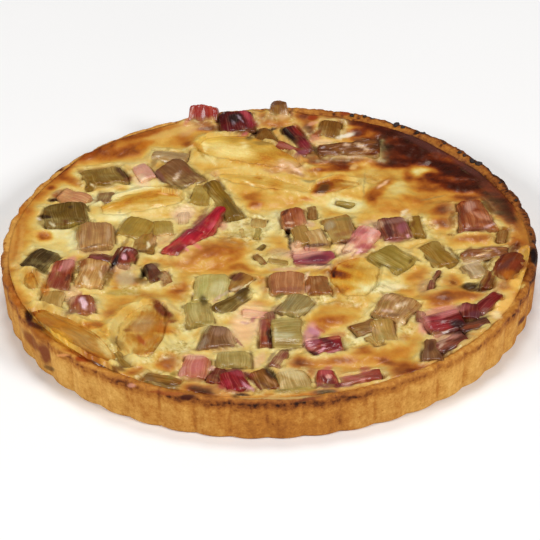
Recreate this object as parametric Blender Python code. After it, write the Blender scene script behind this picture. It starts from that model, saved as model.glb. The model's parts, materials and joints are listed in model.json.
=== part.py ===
"""Apple rhubarb tart: a fluted pastry shell filled with baked custard, and the fruit in it.

Lengths are in millimetres and angles in degrees, turned to metres and radians where a mesh is made.
The tart stands on Z = 0 with its middle at the origin. Its front is at -Y.
"""
import math
import random
from collections import namedtuple

import bmesh
import bpy
from mathutils import Matrix, Vector, noise
from mathutils.bvhtree import BVHTree

MM = 0.001
WELD = 2e-6
SHARP_ANGLE = 40.0

# Pastry shell
RIM_RADIUS = 140.0
FOOT_RADIUS = 137.4
WALL_HEIGHT = 23.7
FLUTES = 48
FLUTE_DEPTH = 1.4
FIRST_FLUTE = 2.6
STEPS_PER_FLUTE = 6
RIM_RUFFLE = 0.9
BACK_LIFT = 2.0
BACK_LIFT_MIDDLE = 70.0
BACK_LIFT_SPREAD = 34.0
INNER_RADIUS = 132.0
FLOOR_RADIUS = 130.5
FLOOR_THICKNESS = 4.0
INNER_STEPS = 96

# Custard
GAP = 0.3
CUSTARD_LEVEL = 20.5
CUSTARD_CELLS = 20
RIM_CLIMB = 1.6
RIM_CLIMB_WIDTH = 9.0
WAVE_HEIGHT = 0.7
WAVE_LENGTH = 26.0

# Fruit
VIEW_SLANT = 1.5
SINK = 6.0
STALK_SIDES = 8
STALK_SQUARENESS = 3.4
SLICE_SIDES = 8
SLICE_SQUARENESS = 2.3
SLICE_STATIONS = 7
SLICE_BOW = 0.10
END_ROUNDING = 1.6
UNEVENNESS = 0.09

# Each piece of fruit as it is seen from in front, 34 degrees above the table: x and y are the
# middle of its outline on the level of the custard, length runs along the fibres, rise is how far
# it stands out of the custard, and turn is the heading of its length from +X towards +Y.
Piece = namedtuple(
    "Piece", "node form tone x y length width rise turn pitch roll taper sink",
    defaults=(0, 0, 1.0, SINK))

PIECES = [
    # Apple slices
    Piece("apple_01", "slice", "apple", -9, 94, 64, 37, 5.0, -27, 0, 6, 0.5),
    Piece("apple_02", "slice", "apple", -3, 66, 58, 17, 3.0, -20, 0, -6, 0.9),
    Piece("apple_03", "slice", "apple", -67, 47.5, 47, 23, 3.2, 13, 0, 5, 0.9),
    Piece("apple_04", "slice", "apple", 46.5, -27, 40, 27, 3.6, 80, 0, 5, 1.1),
    Piece("apple_05", "slice", "apple", -63, -71, 51, 31, 4.2, 81, 0, -8, 0.9),
    Piece("apple_06", "slice", "apple", -99, -77, 66, 21, 5.0, -50, 0, -6, 0.85, 1.0),
    Piece("apple_07", "slice", "apple", 125, -24, 32, 17, 6.0, 72, 4, 8, 1.1, 0.5),
    Piece("apple_08", "slice", "apple", 36, 60, 30, 15, 3.0, 14, 0, 4, 0.9),
    Piece("apple_09", "slice", "apple", -122, -25, 22, 12, 3.0, 100, 0, -5, 0.8),
    # Rhubarb, back left
    Piece("rhubarb_01", "stalk", "olive", -88, 77, 20, 25, 4.5, 106, -6, 3, 0.95),
    Piece("rhubarb_02", "stalk", "pale_pink", -67, 81, 17, 10, 2.6, 112, -4, 0, 0.8),
    Piece("rhubarb_03", "stalk", "grey", -53, 96, 20, 12, 3.4, -14, 0, -6),
    Piece("rhubarb_03", "stalk", "brown", -47, 77, 25, 19, 6.0, -52, -5, 4, 0.9),
    Piece("rhubarb_04", "stalk", "pink", -104, 56, 18, 12, 4.0, -35, 3, 6),
    Piece("rhubarb_05", "stalk", "dark_olive", -107.5, 40, 22, 26, 5.4, 93, 5, -3, 0.95),
    Piece("rhubarb_06", "stalk", "dark_olive", -24, 50, 38, 10, 4.4, -69, -2, 8, 1.1),
    Piece("rhubarb_06", "stalk", "olive", -35.5, 56, 19, 11, 2.8, 82, 0, 0),
    # Rhubarb, back
    Piece("rhubarb_07", "stalk", "red_brown", -34.5, 139.4, 15, 19, 11.5, 80, 58, 0, 0.85, -4.0),
    Piece("rhubarb_08", "stalk", "crimson", -16, 130, 17, 20, 8.5, 97, 12, 6),
    Piece("rhubarb_09", "stalk", "olive", -1, 115, 15, 18, 3.8, 92, 6, 0, 0.25),
    Piece("rhubarb_10", "stalk", "beige", 7.5, 142, 14, 14, 11.5, 86, 55, 4, 0.6, -4.0),
    Piece("rhubarb_11", "stalk", "crimson", 18, 111, 27, 9, 5.2, -66, -4, 10, 1.2),
    Piece("rhubarb_11", "stalk", "mauve", 13.5, 99, 21, 10, 3.4, -34, 0, 0, 0.7),
    Piece("rhubarb_12", "stalk", "olive", 35, 121, 14, 14, 4.6, 78, 8, 0, 0.9),
    Piece("rhubarb_13", "stalk", "brown", 45, 99, 33, 14, 6.4, 2, 3, 8, 1.1),
    # Rhubarb, middle left
    Piece("rhubarb_14", "stalk", "beige", -90.5, 17, 22, 20, 6.2, 92, 4, 0),
    Piece("rhubarb_15", "stalk", "olive", -70, 24, 17, 17, 4.4, 66, 3, 0),
    Piece("rhubarb_15", "stalk", "dark_olive", -65, 9, 15, 12, 4.2, 82, 2, -5),
    Piece("rhubarb_15", "stalk", "olive", -56, 24, 13, 12, 2.8, 96, 3, 0),
    Piece("rhubarb_17", "stalk", "dark_olive", -119, -4, 23, 17, 3.6, 95, 0, 4, 0.9),
    Piece("rhubarb_18", "stalk", "crimson", -107.6, -19, 26, 14, 5.4, 81, 4, -8, 0.85),
    Piece("rhubarb_19", "stalk", "beige", -91.6, -18, 23, 15.5, 5.4, 80, 5, 4),
    Piece("rhubarb_20", "stalk", "crimson", -87, -4.5, 14, 8, 3.6, -22, 0, 0),
    Piece("rhubarb_20", "stalk", "crimson", -75.5, -4, 15, 13, 5.6, 70, 6, 5, 0.9),
    Piece("rhubarb_21", "stalk", "brown", -60.5, -19, 15, 12, 4.6, 112, 6, 4, 0.45),
    Piece("rhubarb_22", "stalk", "pink", -96, -47.5, 16, 15, 4.8, 95, 5, 0, 0.8),
    Piece("rhubarb_23", "stalk", "olive", -111, -42, 15, 13, 3.6, 84, 4, 0),
    # Rhubarb, middle
    Piece("rhubarb_24", "stalk", "crimson", -31, 28, 30, 13, 4.6, 66, 3, -8, 0.6),
    Piece("rhubarb_24", "stalk", "crimson", -44.5, 9, 26, 12, 4.2, 56, 2, 0, 1.1),
    Piece("rhubarb_25", "stalk", "red_brown", 13.3, 29.5, 18, 13, 5.6, 96, 6, 0),
    Piece("rhubarb_25", "stalk", "olive", 17, 13, 16, 10.5, 4.4, 104, 4, 0),
    Piece("rhubarb_25", "stalk", "olive", 24.6, 9.5, 15, 10, 4.8, 106, 2, 0),
    Piece("rhubarb_26", "stalk", "grey", 37.8, 18.5, 23, 15.5, 5.0, 101, 4, -5),
    Piece("rhubarb_27", "stalk", "pink", 49, 7.5, 25, 14, 4.6, 64, 2, 6, 1.1),
    Piece("rhubarb_16", "stalk", "mauve", 23, -8, 22, 11, 3.4, 8, 0, -4),
    Piece("rhubarb_28", "stalk", "brown_pink", 9, -32, 18, 20, 6.4, 90, 5, 0),
    Piece("rhubarb_28", "stalk", "brown", 24.4, -35, 16, 13.5, 5.2, 97, 3, 4),
    Piece("rhubarb_29", "stalk", "pale_green", -30, -34.5, 22, 18, 4.4, 86, 3, -3),
    Piece("rhubarb_29", "stalk", "brown", -16, -30.5, 16, 10, 4.0, 58, 3, 0),
    Piece("rhubarb_29", "stalk", "dark_olive", -19, -46.5, 26, 10, 4.2, 47, 2, 6, 0.8),
    # Rhubarb, middle right
    Piece("rhubarb_30", "stalk", "mauve", 66, 17, 19, 17, 5.6, 104, 3, 5, 0.9),
    Piece("rhubarb_30", "stalk", "olive", 77.5, 19, 19, 8, 4.2, 94, 2, 0, 0.8),
    Piece("rhubarb_31", "stalk", "olive", 88, -8, 23, 14, 4.4, 116, 0, -5, 0.85),
    Piece("rhubarb_32", "stalk", "yellow_green", 64, -11, 21, 19, 3.8, 135, 2, 0),
    Piece("rhubarb_33", "stalk", "brown", 108.5, 28, 27, 23, 5.8, 98, 3, 5, 0.6),
    Piece("rhubarb_34", "stalk", "brown", 112, -9, 26, 12, 4.8, 6, 2, 5),
    Piece("rhubarb_35", "stalk", "beige", 106, -23.5, 14, 12, 2.8, 110, 0, 0),
    Piece("rhubarb_35", "stalk", "olive", 112.5, -33, 17, 8, 3.4, 76, 0, 0),
    # Rhubarb, front
    Piece("rhubarb_36", "stalk", "pale_green", -36, -58, 20, 15, 4.4, 96, 2, 3),
    Piece("rhubarb_37", "stalk", "grey", -27, -79, 19, 20, 4.4, 88, 2, 0, 0.55),
    Piece("rhubarb_38", "stalk", "pale_green", -18.5, -99, 12, 18, 3.8, 92, 2, 0),
    Piece("rhubarb_39", "stalk", "pink", -37.5, -105, 18, 15, 5.0, 82, 4, 0, 0.9),
    Piece("rhubarb_40", "stalk", "crimson", -18, -118, 16, 14, 5.4, 106, 3, -5, 0.85),
    Piece("rhubarb_41", "stalk", "brown", -4, -118, 17, 12, 4.6, 112, 3, 0, 0.8),
    Piece("rhubarb_41", "stalk", "pale_green", 10.5, -119, 17, 19, 4.2, 101, 3, 0, 0.8),
    Piece("rhubarb_42", "stalk", "red_brown", -2.5, -75.5, 23, 7, 3.4, 88, 0, 0),
    Piece("rhubarb_42", "stalk", "pale_green", 8, -75.5, 15, 24, 4.6, 2, 0, 2),
    Piece("rhubarb_43", "stalk", "olive", 12.5, -52, 17, 15, 4.2, 62, 3, 0),
    Piece("rhubarb_44", "stalk", "crimson", 27, -88, 17, 15, 4.6, 14, 4, 0, 0.9),
    Piece("rhubarb_45", "stalk", "crimson", 27, -117, 14, 14, 4.4, 94, 6, 0, 0.6),
    Piece("rhubarb_45", "stalk", "crimson", 43.5, -117, 22, 10, 4.0, 12, 4, 0, 0.9),
    Piece("rhubarb_46", "stalk", "olive", -54, -115.5, 20, 12, 3.6, -22, 0, 0, 0.8),
    Piece("rhubarb_48", "stalk", "beige", 63, -56, 20, 20, 5.4, 62, 2, 4),
    Piece("rhubarb_48", "stalk", "olive", 57, -77, 19, 12, 3.6, 98, 2, 0, 1.1),
    # Rhubarb, front right
    Piece("rhubarb_49", "stalk", "crimson", 87, -70.5, 19, 17, 6.0, 18, 2, 4),
    Piece("rhubarb_49", "stalk", "mauve", 100.5, -62, 13, 11, 5.0, 80, 0, 0),
    Piece("rhubarb_49", "stalk", "crimson", 110, -55, 19, 9, 5.0, 52, 0, 0, 0.8),
    Piece("rhubarb_49", "stalk", "brown", 102, -74, 17, 9, 4.4, 26, 0, 0),
    Piece("rhubarb_47", "stalk", "mauve", 89, -89, 19, 11, 4.4, 40, 0, 0, 0.9),
    Piece("rhubarb_47", "stalk", "brown", 79.5, -95.5, 18, 13, 4.6, 92, 3, 0, 0.45),
]

# Low swellings where slices lie under the custard: x, y, length, width, height and heading
SWELLINGS = [
    (0, 48, 42, 16, 1.4, 10),
    (38, 76, 26, 16, 1.8, 4),
    (64, 46, 46, 26, 2.0, 74),
    (-31, -3, 44, 28, 2.4, 24),
    (33, -62, 26, 22, 1.8, 10),
    (92, 30, 30, 26, 1.6, 80),
    (107, 3, 26, 14, 1.5, 4),
    (68, 103, 60, 30, 1.6, -40),
    (104, 66, 44, 24, 1.4, -52),
    (88, -48, 34, 18, 1.6, 20),
    (50, -98, 40, 18, 1.6, 20),
    (-88, 99, 50, 12, 1.2, 38),
    (-48, -98, 24, 18, 1.4, 60),
    (22, -101, 24, 12, 1.4, -10),
]

TONES = {
    "pastry": "#C48A3C",
    "custard": "#DFC67C",
    "apple": "#DDBB62",
    "olive": "#80743A",
    "dark_olive": "#5E5226",
    "pale_green": "#A9A468",
    "yellow_green": "#97924A",
    "grey": "#978A6C",
    "beige": "#B4926E",
    "brown": "#7A5236",
    "brown_pink": "#A87060",
    "red_brown": "#7E2C1A",
    "crimson": "#96203A",
    "pink": "#B8626A",
    "pale_pink": "#D2948C",
    "mauve": "#84485A",
}


def clear_scene():
    for item in list(bpy.data.objects):
        bpy.data.objects.remove(item)


def linear(hex_colour):
    """An sRGB hex colour as linear red, green, blue and alpha."""
    channels = [int(hex_colour[i:i + 2], 16) / 255 for i in (1, 3, 5)]
    return [c / 12.92 if c <= 0.04045 else ((c + 0.055) / 1.055) ** 2.4 for c in channels] + [1.0]


def material(name, tone, roughness):
    made = bpy.data.materials.new(name)
    made.use_nodes = True
    shader = made.node_tree.nodes["Principled BSDF"]
    shader.inputs["Base Color"].default_value = linear(TONES[tone])
    shader.inputs["Roughness"].default_value = roughness
    shader.inputs["Metallic"].default_value = 0.0
    made.diffuse_color = linear(TONES[tone])
    return made


def polar(radius, angle, z):
    return Vector((radius * math.cos(angle), radius * math.sin(angle), z))


def next_ring(bm, ring, points):
    """Extrude a ring of vertices and set the new ring on the points given, in the same order."""
    edges = [e for v in ring for e in v.link_edges if e.is_boundary or e.is_wire]
    grown = bmesh.ops.extrude_edge_only(bm, edges=list(dict.fromkeys(edges)))["geom"]
    fresh = {g for g in grown if isinstance(g, bmesh.types.BMVert)}
    ring = [next(e.other_vert(v) for e in v.link_edges if e.other_vert(v) in fresh) for v in ring]
    for vert, point in zip(ring, points):
        vert.co = point
    return ring


def loft(bm, rings, cap_start=True, cap_end=True):
    """A skin through rings of points that all have the same count. Returns its last ring."""
    ring = bmesh.ops.create_circle(bm, segments=len(rings[0]), radius=1, cap_ends=False)["verts"]
    first = ring
    for vert, point in zip(ring, rings[0]):
        vert.co = point
    for points in rings[1:]:
        ring = next_ring(bm, ring, points)
    if cap_start:
        bm.faces.new(first)
    if cap_end:
        bm.faces.new(ring)
    return ring


def ring_edges(ring):
    members = set(ring)
    return list({e for v in ring for e in v.link_edges if e.other_vert(v) in members})


def new_object(name, bm, finish=None):
    """Turn a bmesh that is in millimetres into an object in metres."""
    bmesh.ops.recalc_face_normals(bm, faces=bm.faces)
    bmesh.ops.scale(bm, vec=Vector((MM, MM, MM)), verts=bm.verts)
    mesh = bpy.data.meshes.new(name)
    bm.to_mesh(mesh)
    bm.free()
    made = bpy.data.objects.new(name, mesh)
    bpy.context.scene.collection.objects.link(made)
    if finish:
        mesh.materials.append(finish)
    return made


def flute_radius(radius, angle):
    """A wall of shallow lobes that meet in narrow valleys."""
    phase = FLUTES * (angle - math.radians(FIRST_FLUTE)) / 2
    return radius - FLUTE_DEPTH * (1 - abs(math.cos(phase)))


def rim_ruffle(angle, seed):
    """The uneven height of the broken and browned rim."""
    around = Vector((math.cos(angle), math.sin(angle), seed))
    off_middle = (math.degrees(angle) - BACK_LIFT_MIDDLE + 180) % 360 - 180
    back = BACK_LIFT * math.exp(-(off_middle / BACK_LIFT_SPREAD) ** 2)
    return back + RIM_RUFFLE * (0.8 * noise.noise(around * 5.0) + 0.5 * noise.noise(around * 22.0))


def make_crust():
    bm = bmesh.new()
    count = FLUTES * STEPS_PER_FLUTE
    step = 2 * math.pi / count
    start = math.radians(FIRST_FLUTE)
    angles = [start + i * step for i in range(count)]

    def fluted(radius, z, lift=0.0, fade=1.0):
        ring = []
        for angle in angles:
            wavy = flute_radius(radius, angle)
            ring.append(polar(radius + fade * (wavy - radius), angle, z + lift * rim_ruffle(angle, 3.0)))
        return ring

    outside = loft(bm, [
        fluted(FOOT_RADIUS, 0.0),
        fluted(RIM_RADIUS, WALL_HEIGHT - 1.7, 0.5),
        fluted(RIM_RADIUS - 1.6, WALL_HEIGHT, 1.0, 0.6),
        fluted(INNER_RADIUS + 2.4, WALL_HEIGHT - 0.5, 1.0, 0.0),
    ], cap_end=False)
    inner_angles = [2 * math.pi * i / INNER_STEPS for i in range(INNER_STEPS)]
    inside = loft(bm, [
        [polar(FLOOR_RADIUS, a, FLOOR_THICKNESS) for a in inner_angles],
        [polar(INNER_RADIUS, a, CUSTARD_LEVEL - 1.0) for a in inner_angles],
    ], cap_end=False)
    bmesh.ops.bridge_loops(bm, edges=ring_edges(outside) + ring_edges(inside))
    return new_object("crust", bm, material("pastry", "pastry", 0.62))


def custard_height(x, y):
    """The custard's top: it climbs to the rim, swells over hidden slices and waves a little."""
    reach = math.hypot(x, y)
    climb = max(0.0, 1 - (INNER_RADIUS - reach) / RIM_CLIMB_WIDTH)
    z = CUSTARD_LEVEL + RIM_CLIMB * climb * climb
    z += WAVE_HEIGHT * noise.noise(Vector((x, y, 5.0)) / WAVE_LENGTH)
    for cx, cy, length, width, height, heading in SWELLINGS:
        turn = math.radians(heading)
        along = ((x - cx) * math.cos(turn) + (y - cy) * math.sin(turn)) * 2 / length
        across = ((y - cy) * math.cos(turn) - (x - cx) * math.sin(turn)) * 2 / width
        z += height * max(0.0, 1 - along * along - across * across) ** 0.75
    return z


def disc_point(u, v, radius):
    """A place in a square from -1 to 1, spread over a disc so that its edge is evenly divided."""
    reach = max(abs(u), abs(v))
    if reach == 0:
        return 0.0, 0.0
    quarter = math.pi / 4
    if abs(u) >= abs(v):
        angle = quarter * v / u + (math.pi if u < 0 else 0.0)
    else:
        angle = 2 * quarter - quarter * u / v + (math.pi if v < 0 else 0.0)
    return reach * radius * math.cos(angle), reach * radius * math.sin(angle)


def make_custard():
    bm = bmesh.new()
    bmesh.ops.create_grid(bm, x_segments=CUSTARD_CELLS, y_segments=CUSTARD_CELLS, size=1.0)
    edge_radius = INNER_RADIUS - GAP * 1.5
    for vert in bm.verts:
        x, y = disc_point(vert.co.x, vert.co.y, edge_radius)
        vert.co = Vector((x, y, custard_height(x, y)))
    rim = [e for e in bm.edges if e.is_boundary]
    grown = bmesh.ops.extrude_edge_only(bm, edges=rim)["geom"]
    low = [g for g in grown if isinstance(g, bmesh.types.BMVert)]
    floor = FLOOR_THICKNESS + GAP
    low_radius = FLOOR_RADIUS - GAP * 1.5
    for vert in low:
        angle = math.atan2(vert.co.y, vert.co.x)
        vert.co = polar(low_radius, angle, floor)
    bmesh.ops.edgeloop_fill(bm, edges=[e for e in bm.edges if e.is_boundary])
    return new_object("custard", bm, material("custard", "custard", 0.35))


def rounded(value, squareness):
    return math.copysign(abs(value) ** (2 / squareness), value)


def section(x, half_width, half_height, sides, squareness, offset=0.0):
    """One cross-section of a piece of fruit, across its length."""
    ring = []
    for i in range(sides):
        angle = 2 * math.pi * (i + 0.5) / sides
        y = half_width * rounded(math.cos(angle), squareness) + offset
        ring.append(Vector((x, y, half_height * rounded(math.sin(angle), squareness))))
    return ring


def box_section(x, half_width, half_height, offset=0.0):
    corners = ((1, -1), (1, 1), (-1, 1), (-1, -1))
    return [Vector((x, offset + a * half_width, b * half_height)) for a, b in corners]


def thickness(piece):
    return piece.rise + piece.sink


def stalk_stations(piece):
    """Places along a cut length of stalk, with the size of each as a share of the whole."""
    half = piece.length / 2
    return [
        (-half, 0.86),
        (-half + END_ROUNDING, 1.0),
        (half - END_ROUNDING, piece.taper),
        (half, piece.taper * 0.86),
    ]


def stalk_rings(piece):
    """A cut length of stalk: fibres along X, rounded sides and slightly rounded cut ends."""
    high = thickness(piece) / 2
    rings = []
    for x, share in stalk_stations(piece):
        tall = high * (1 - 0.35 * (1 - share))
        rings.append(section(x, piece.width / 2 * share, tall, STALK_SIDES, STALK_SQUARENESS))
    return rings


def slice_stations(piece):
    """Places along an apple slice: a half moon with blunt ends, wider at one end if it tapers."""
    stations = []
    for i in range(SLICE_STATIONS):
        u = -1 + 2 * i / (SLICE_STATIONS - 1)
        swell = math.sqrt(max(0.0, 1 - (0.94 * u) ** 2))
        lean = (1 + piece.taper) / 2 + u * (piece.taper - 1) / 2
        bow = SLICE_BOW * piece.width * (1 - u * u)
        stations.append((u * piece.length / 2, swell * lean, bow))
    return stations


def slice_rings(piece):
    high = thickness(piece) / 2
    rings = []
    for x, share, bow in slice_stations(piece):
        tall = high * (0.55 + 0.45 * share)
        rings.append(section(x, piece.width / 2 * share, tall, SLICE_SIDES, SLICE_SQUARENESS, bow))
    return rings


def room_rings(piece):
    """A plain shape that just holds the piece and its gap: it makes the room that the piece lies in."""
    wide = piece.width / 2 + GAP
    high = thickness(piece) / 2 + GAP
    if piece.form == "slice":
        stations = slice_stations(piece)
        rings = []
        for x, share, bow in stations:
            tall = high * (0.55 + 0.45 * share) + GAP / 2
            rings.append(box_section(x * (1 + GAP / high), piece.width / 2 * share + GAP, tall, bow))
        return rings
    half = piece.length / 2 + GAP
    return [box_section(-half, wide, high), box_section(half, piece.width / 2 * piece.taper + GAP, high)]


def roughen(rings, seed):
    """Draw points in towards the middle by uneven amounts, so that no two pieces are alike."""
    draw = random.Random(seed)
    for ring in rings:
        middle = sum(ring, Vector()) / len(ring)
        for point in ring:
            pull = 1 - UNEVENNESS * draw.random()
            point.yz = middle.yz + (point.yz - middle.yz) * pull
    return rings


def attitude(piece):
    """How a piece lies: rolled about its length, pitched, then turned on the tart."""
    turn = Matrix.Rotation(math.radians(piece.turn), 3, "Z")
    pitch = Matrix.Rotation(-math.radians(piece.pitch), 3, "Y")
    roll = Matrix.Rotation(math.radians(piece.roll), 3, "X")
    return turn @ pitch @ roll


def placed(piece, rings, top):
    """Rings turned and moved to where the piece lies, its highest point at the height of its rise."""
    y = piece.y - VIEW_SLANT * piece.rise / 2
    shift = Vector((piece.x, y, CUSTARD_LEVEL + piece.rise - top))
    lie = attitude(piece)
    return [[lie @ point + shift for point in ring] for ring in rings]


def piece_rings(piece, seed):
    form = slice_rings if piece.form == "slice" else stalk_rings
    return roughen(form(piece), seed)


def piece_top(piece, rings):
    lie = attitude(piece)
    return max((lie @ point).z for ring in rings for point in ring)


def body_from(name, rings):
    bm = bmesh.new()
    loft(bm, rings)
    return new_object(name, bm)


def guide(made):
    """Mark an object that only shapes others."""
    made.hide_render = True
    made.display_type = "WIRE"
    return made


def surface(made):
    """The object's surface as a search tree. Every object here lies untransformed at the origin."""
    bm = bmesh.new()
    bm.from_mesh(made.data)
    tree = BVHTree.FromBMesh(bm)
    bm.free()
    return tree


def combine(made, tools, operation):
    """Join or cut an object with several others in one step, and keep its largest body."""
    if not tools:
        return
    group = bpy.data.collections.new("tools")
    bpy.context.scene.collection.children.link(group)
    for tool in tools:
        group.objects.link(tool)
    step = made.modifiers.new(operation.lower(), "BOOLEAN")
    step.operation = operation
    step.solver = "EXACT"
    step.operand_type = "COLLECTION"
    step.collection = group
    result = bpy.data.meshes.new_from_object(made.evaluated_get(bpy.context.evaluated_depsgraph_get()))
    made.modifiers.remove(step)
    made.data = result
    result.name = made.name
    bpy.data.collections.remove(group)
    keep_largest(result)


def keep_largest(mesh):
    """Weld a mesh and drop loose scraps, which a cut may leave beside the body."""
    bm = bmesh.new()
    bm.from_mesh(mesh)
    bmesh.ops.remove_doubles(bm, verts=bm.verts, dist=WELD)
    bmesh.ops.dissolve_degenerate(bm, edges=bm.edges, dist=WELD)
    bodies = []
    unseen = set(bm.faces)
    while unseen:
        front = [unseen.pop()]
        body = list(front)
        while front:
            face = front.pop()
            for other in {f for e in face.edges for f in e.link_faces if f in unseen}:
                unseen.remove(other)
                front.append(other)
                body.append(other)
        bodies.append(body)
    bodies.sort(key=lambda faces: sum(f.calc_area() for f in faces))
    for scrap in bodies[:-1]:
        bmesh.ops.delete(bm, geom=scrap, context="FACES")
    bmesh.ops.delete(bm, geom=[v for v in bm.verts if not v.link_faces], context="VERTS")
    bm.to_mesh(mesh)
    bm.free()


def meets(tree, tool):
    return bool(tree.overlap(surface(tool)))


def make_fruit():
    """Every node of fruit, and the rooms that they take up in what lies round them."""
    nodes = {}
    for piece in PIECES:
        nodes.setdefault(piece.node, []).append(piece)
    rooms = []
    for number, (name, pieces) in enumerate(nodes.items()):
        bodies = []
        fresh_rooms = []
        for index, piece in enumerate(pieces):
            rings = piece_rings(piece, number * 10 + index)
            top = piece_top(piece, rings)
            bodies.append(body_from(name if index == 0 else "joined", placed(piece, rings, top)))
            fresh_rooms.append(guide(body_from("room", placed(piece, room_rings(piece), top))))
        made = bodies[0]
        combine(made, bodies[1:], "UNION")
        tree = surface(made)
        combine(made, [room for room in rooms if meets(tree, room)], "DIFFERENCE")
        for extra in bodies[1:]:
            bpy.data.objects.remove(extra)
        made.data.materials.clear()
        made.data.materials.append(material(name, pieces[0].tone, 0.3))
        rooms += fresh_rooms
    return rooms


def shade(made):
    """Smooth all round, but for the edges of cuts."""
    made.data.shade_smooth()
    made.data.set_sharp_from_angle(angle=math.radians(SHARP_ANGLE))


def main():
    clear_scene()
    rooms = make_fruit()
    for make in (make_crust, make_custard):
        made = make()
        tree = surface(made)
        combine(made, [room for room in rooms if meets(tree, room)], "DIFFERENCE")
    for room in rooms:
        bpy.data.objects.remove(room)
    for made in bpy.data.objects:
        shade(made)


main()
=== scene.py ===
"""Apple rhubarb tart: the looks of the fluted shell, the baked custard and the fruit in it.

Lengths are in millimetres and angles in degrees, turned to metres and radians where a mesh is made.
Places on the tart are given as they are seen from in front, 34 degrees above the table, on the level
of the custard: something that stands higher lies a little further forward than its place says.
"""
import json
import math
import random
from collections import namedtuple

import bmesh
import bpy
import numpy as np
from mathutils import Matrix, Vector, noise


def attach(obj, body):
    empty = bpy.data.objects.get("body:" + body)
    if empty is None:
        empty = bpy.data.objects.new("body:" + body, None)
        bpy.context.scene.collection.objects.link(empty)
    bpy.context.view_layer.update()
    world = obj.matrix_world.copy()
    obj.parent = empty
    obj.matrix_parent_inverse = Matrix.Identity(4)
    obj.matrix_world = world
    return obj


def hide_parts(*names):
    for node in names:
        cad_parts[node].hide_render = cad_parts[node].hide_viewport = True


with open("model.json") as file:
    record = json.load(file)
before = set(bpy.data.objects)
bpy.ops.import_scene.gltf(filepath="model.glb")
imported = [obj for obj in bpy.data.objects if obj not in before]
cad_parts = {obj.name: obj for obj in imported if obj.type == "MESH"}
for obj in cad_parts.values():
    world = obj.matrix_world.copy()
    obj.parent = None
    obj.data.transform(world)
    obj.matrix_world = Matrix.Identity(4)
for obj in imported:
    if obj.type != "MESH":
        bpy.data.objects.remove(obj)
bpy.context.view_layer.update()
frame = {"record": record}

MM = 0.001

# Pastry shell
RIM_RADIUS = 140.0
FOOT_RADIUS = 138.5
WALL_HEIGHT = 23.7
FLUTES = 48
FLUTE_DEPTH = 1.4
FIRST_FLUTE = 2.6
RIM_RUFFLE = 0.9
BACK_LIFT = 2.0
BACK_LIFT_MIDDLE = 70.0
BACK_LIFT_SPREAD = 34.0
BARE_RIM_MIDDLE = 48.0
BARE_RIM_SPREAD = 36.0
BARE_RIM_WIDTH = 3.2
RUFFLES = ((0.8, 5.0), (0.5, 22.0))
INNER_RADIUS = 132.0
FLOOR_RADIUS = 130.5
FLOOR_THICKNESS = 4.0
CRUST_STEPS = 1152

# Custard
GAP = 0.3
CUSTARD_LEVEL = 20.5
CUSTARD_CELLS = 262
CLING_REACH = 3.0
FILM_EDGE = 135.6
FILM_START = 118.0
SLICE_CLING = 0.85
SLICE_CLING_REACH = 5.0
STALK_CLING = 0.45
STALK_CLING_MOST = 2.4
LEAST_CLING = 0.35
LIP_MIDDLE = 2.3
LIP_WIDTH = 1.5
GROOVE_WIDTH = 0.8
CREVICE_DEPTH = 1.6
HOLLOW_UNDER_FRUIT = 4.0

# How far a stalk's colour runs into the custard, and how strong it is there
RED_STAIN = (3.4, 0.3)
OTHER_STAIN = (1.6, 0.25)
# How wide the brown ring of painted shade is beside a stalk
SHADE_RING_WIDTH = 1.1
CURD_MIDDLE = 1.5
CURD_WIDTH = 1.6

# Fruit
VIEW_SLANT = 1.5
SEEN_LEVEL = 21.0
SINK = 6.0
STALK_SQUARENESS = 4.0
END_SQUARENESS = 12.0
SLICE_SQUARENESS = 2.5
SLICE_BOW = 0.10
SLICE_POINT = 0.94
RIB_SPACING = 2.1
RIB_HEIGHT = 0.62
WRINKLE_HEIGHT = 0.75
STALK_BEND = 1.4
SLICE_BEND = 1.6
STALK_CUTS = 23
SLICE_CUTS = 31
BIT_CUTS = 11

# Each piece of fruit: x and y are the middle of its outline as seen, length runs along the fibres,
# rise is how far it stands out of the custard, and turn is the heading of its length from +X
# towards +Y. Char is how far its edges are browned, ribs how strong its fibres stand out and wrinkle
# how far it has shrivelled.
Piece = namedtuple(
    "Piece", "node form colour char ribs wrinkle x y length width rise turn pitch roll taper sink",
    defaults=(0, 0, 1.0, SINK))


def pieces(form, rows):
    """Rows as pieces of one form. The first value is the node of the CAD model, or bit where none is."""
    return [Piece(node, form, *row) for node, *row in rows]


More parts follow.
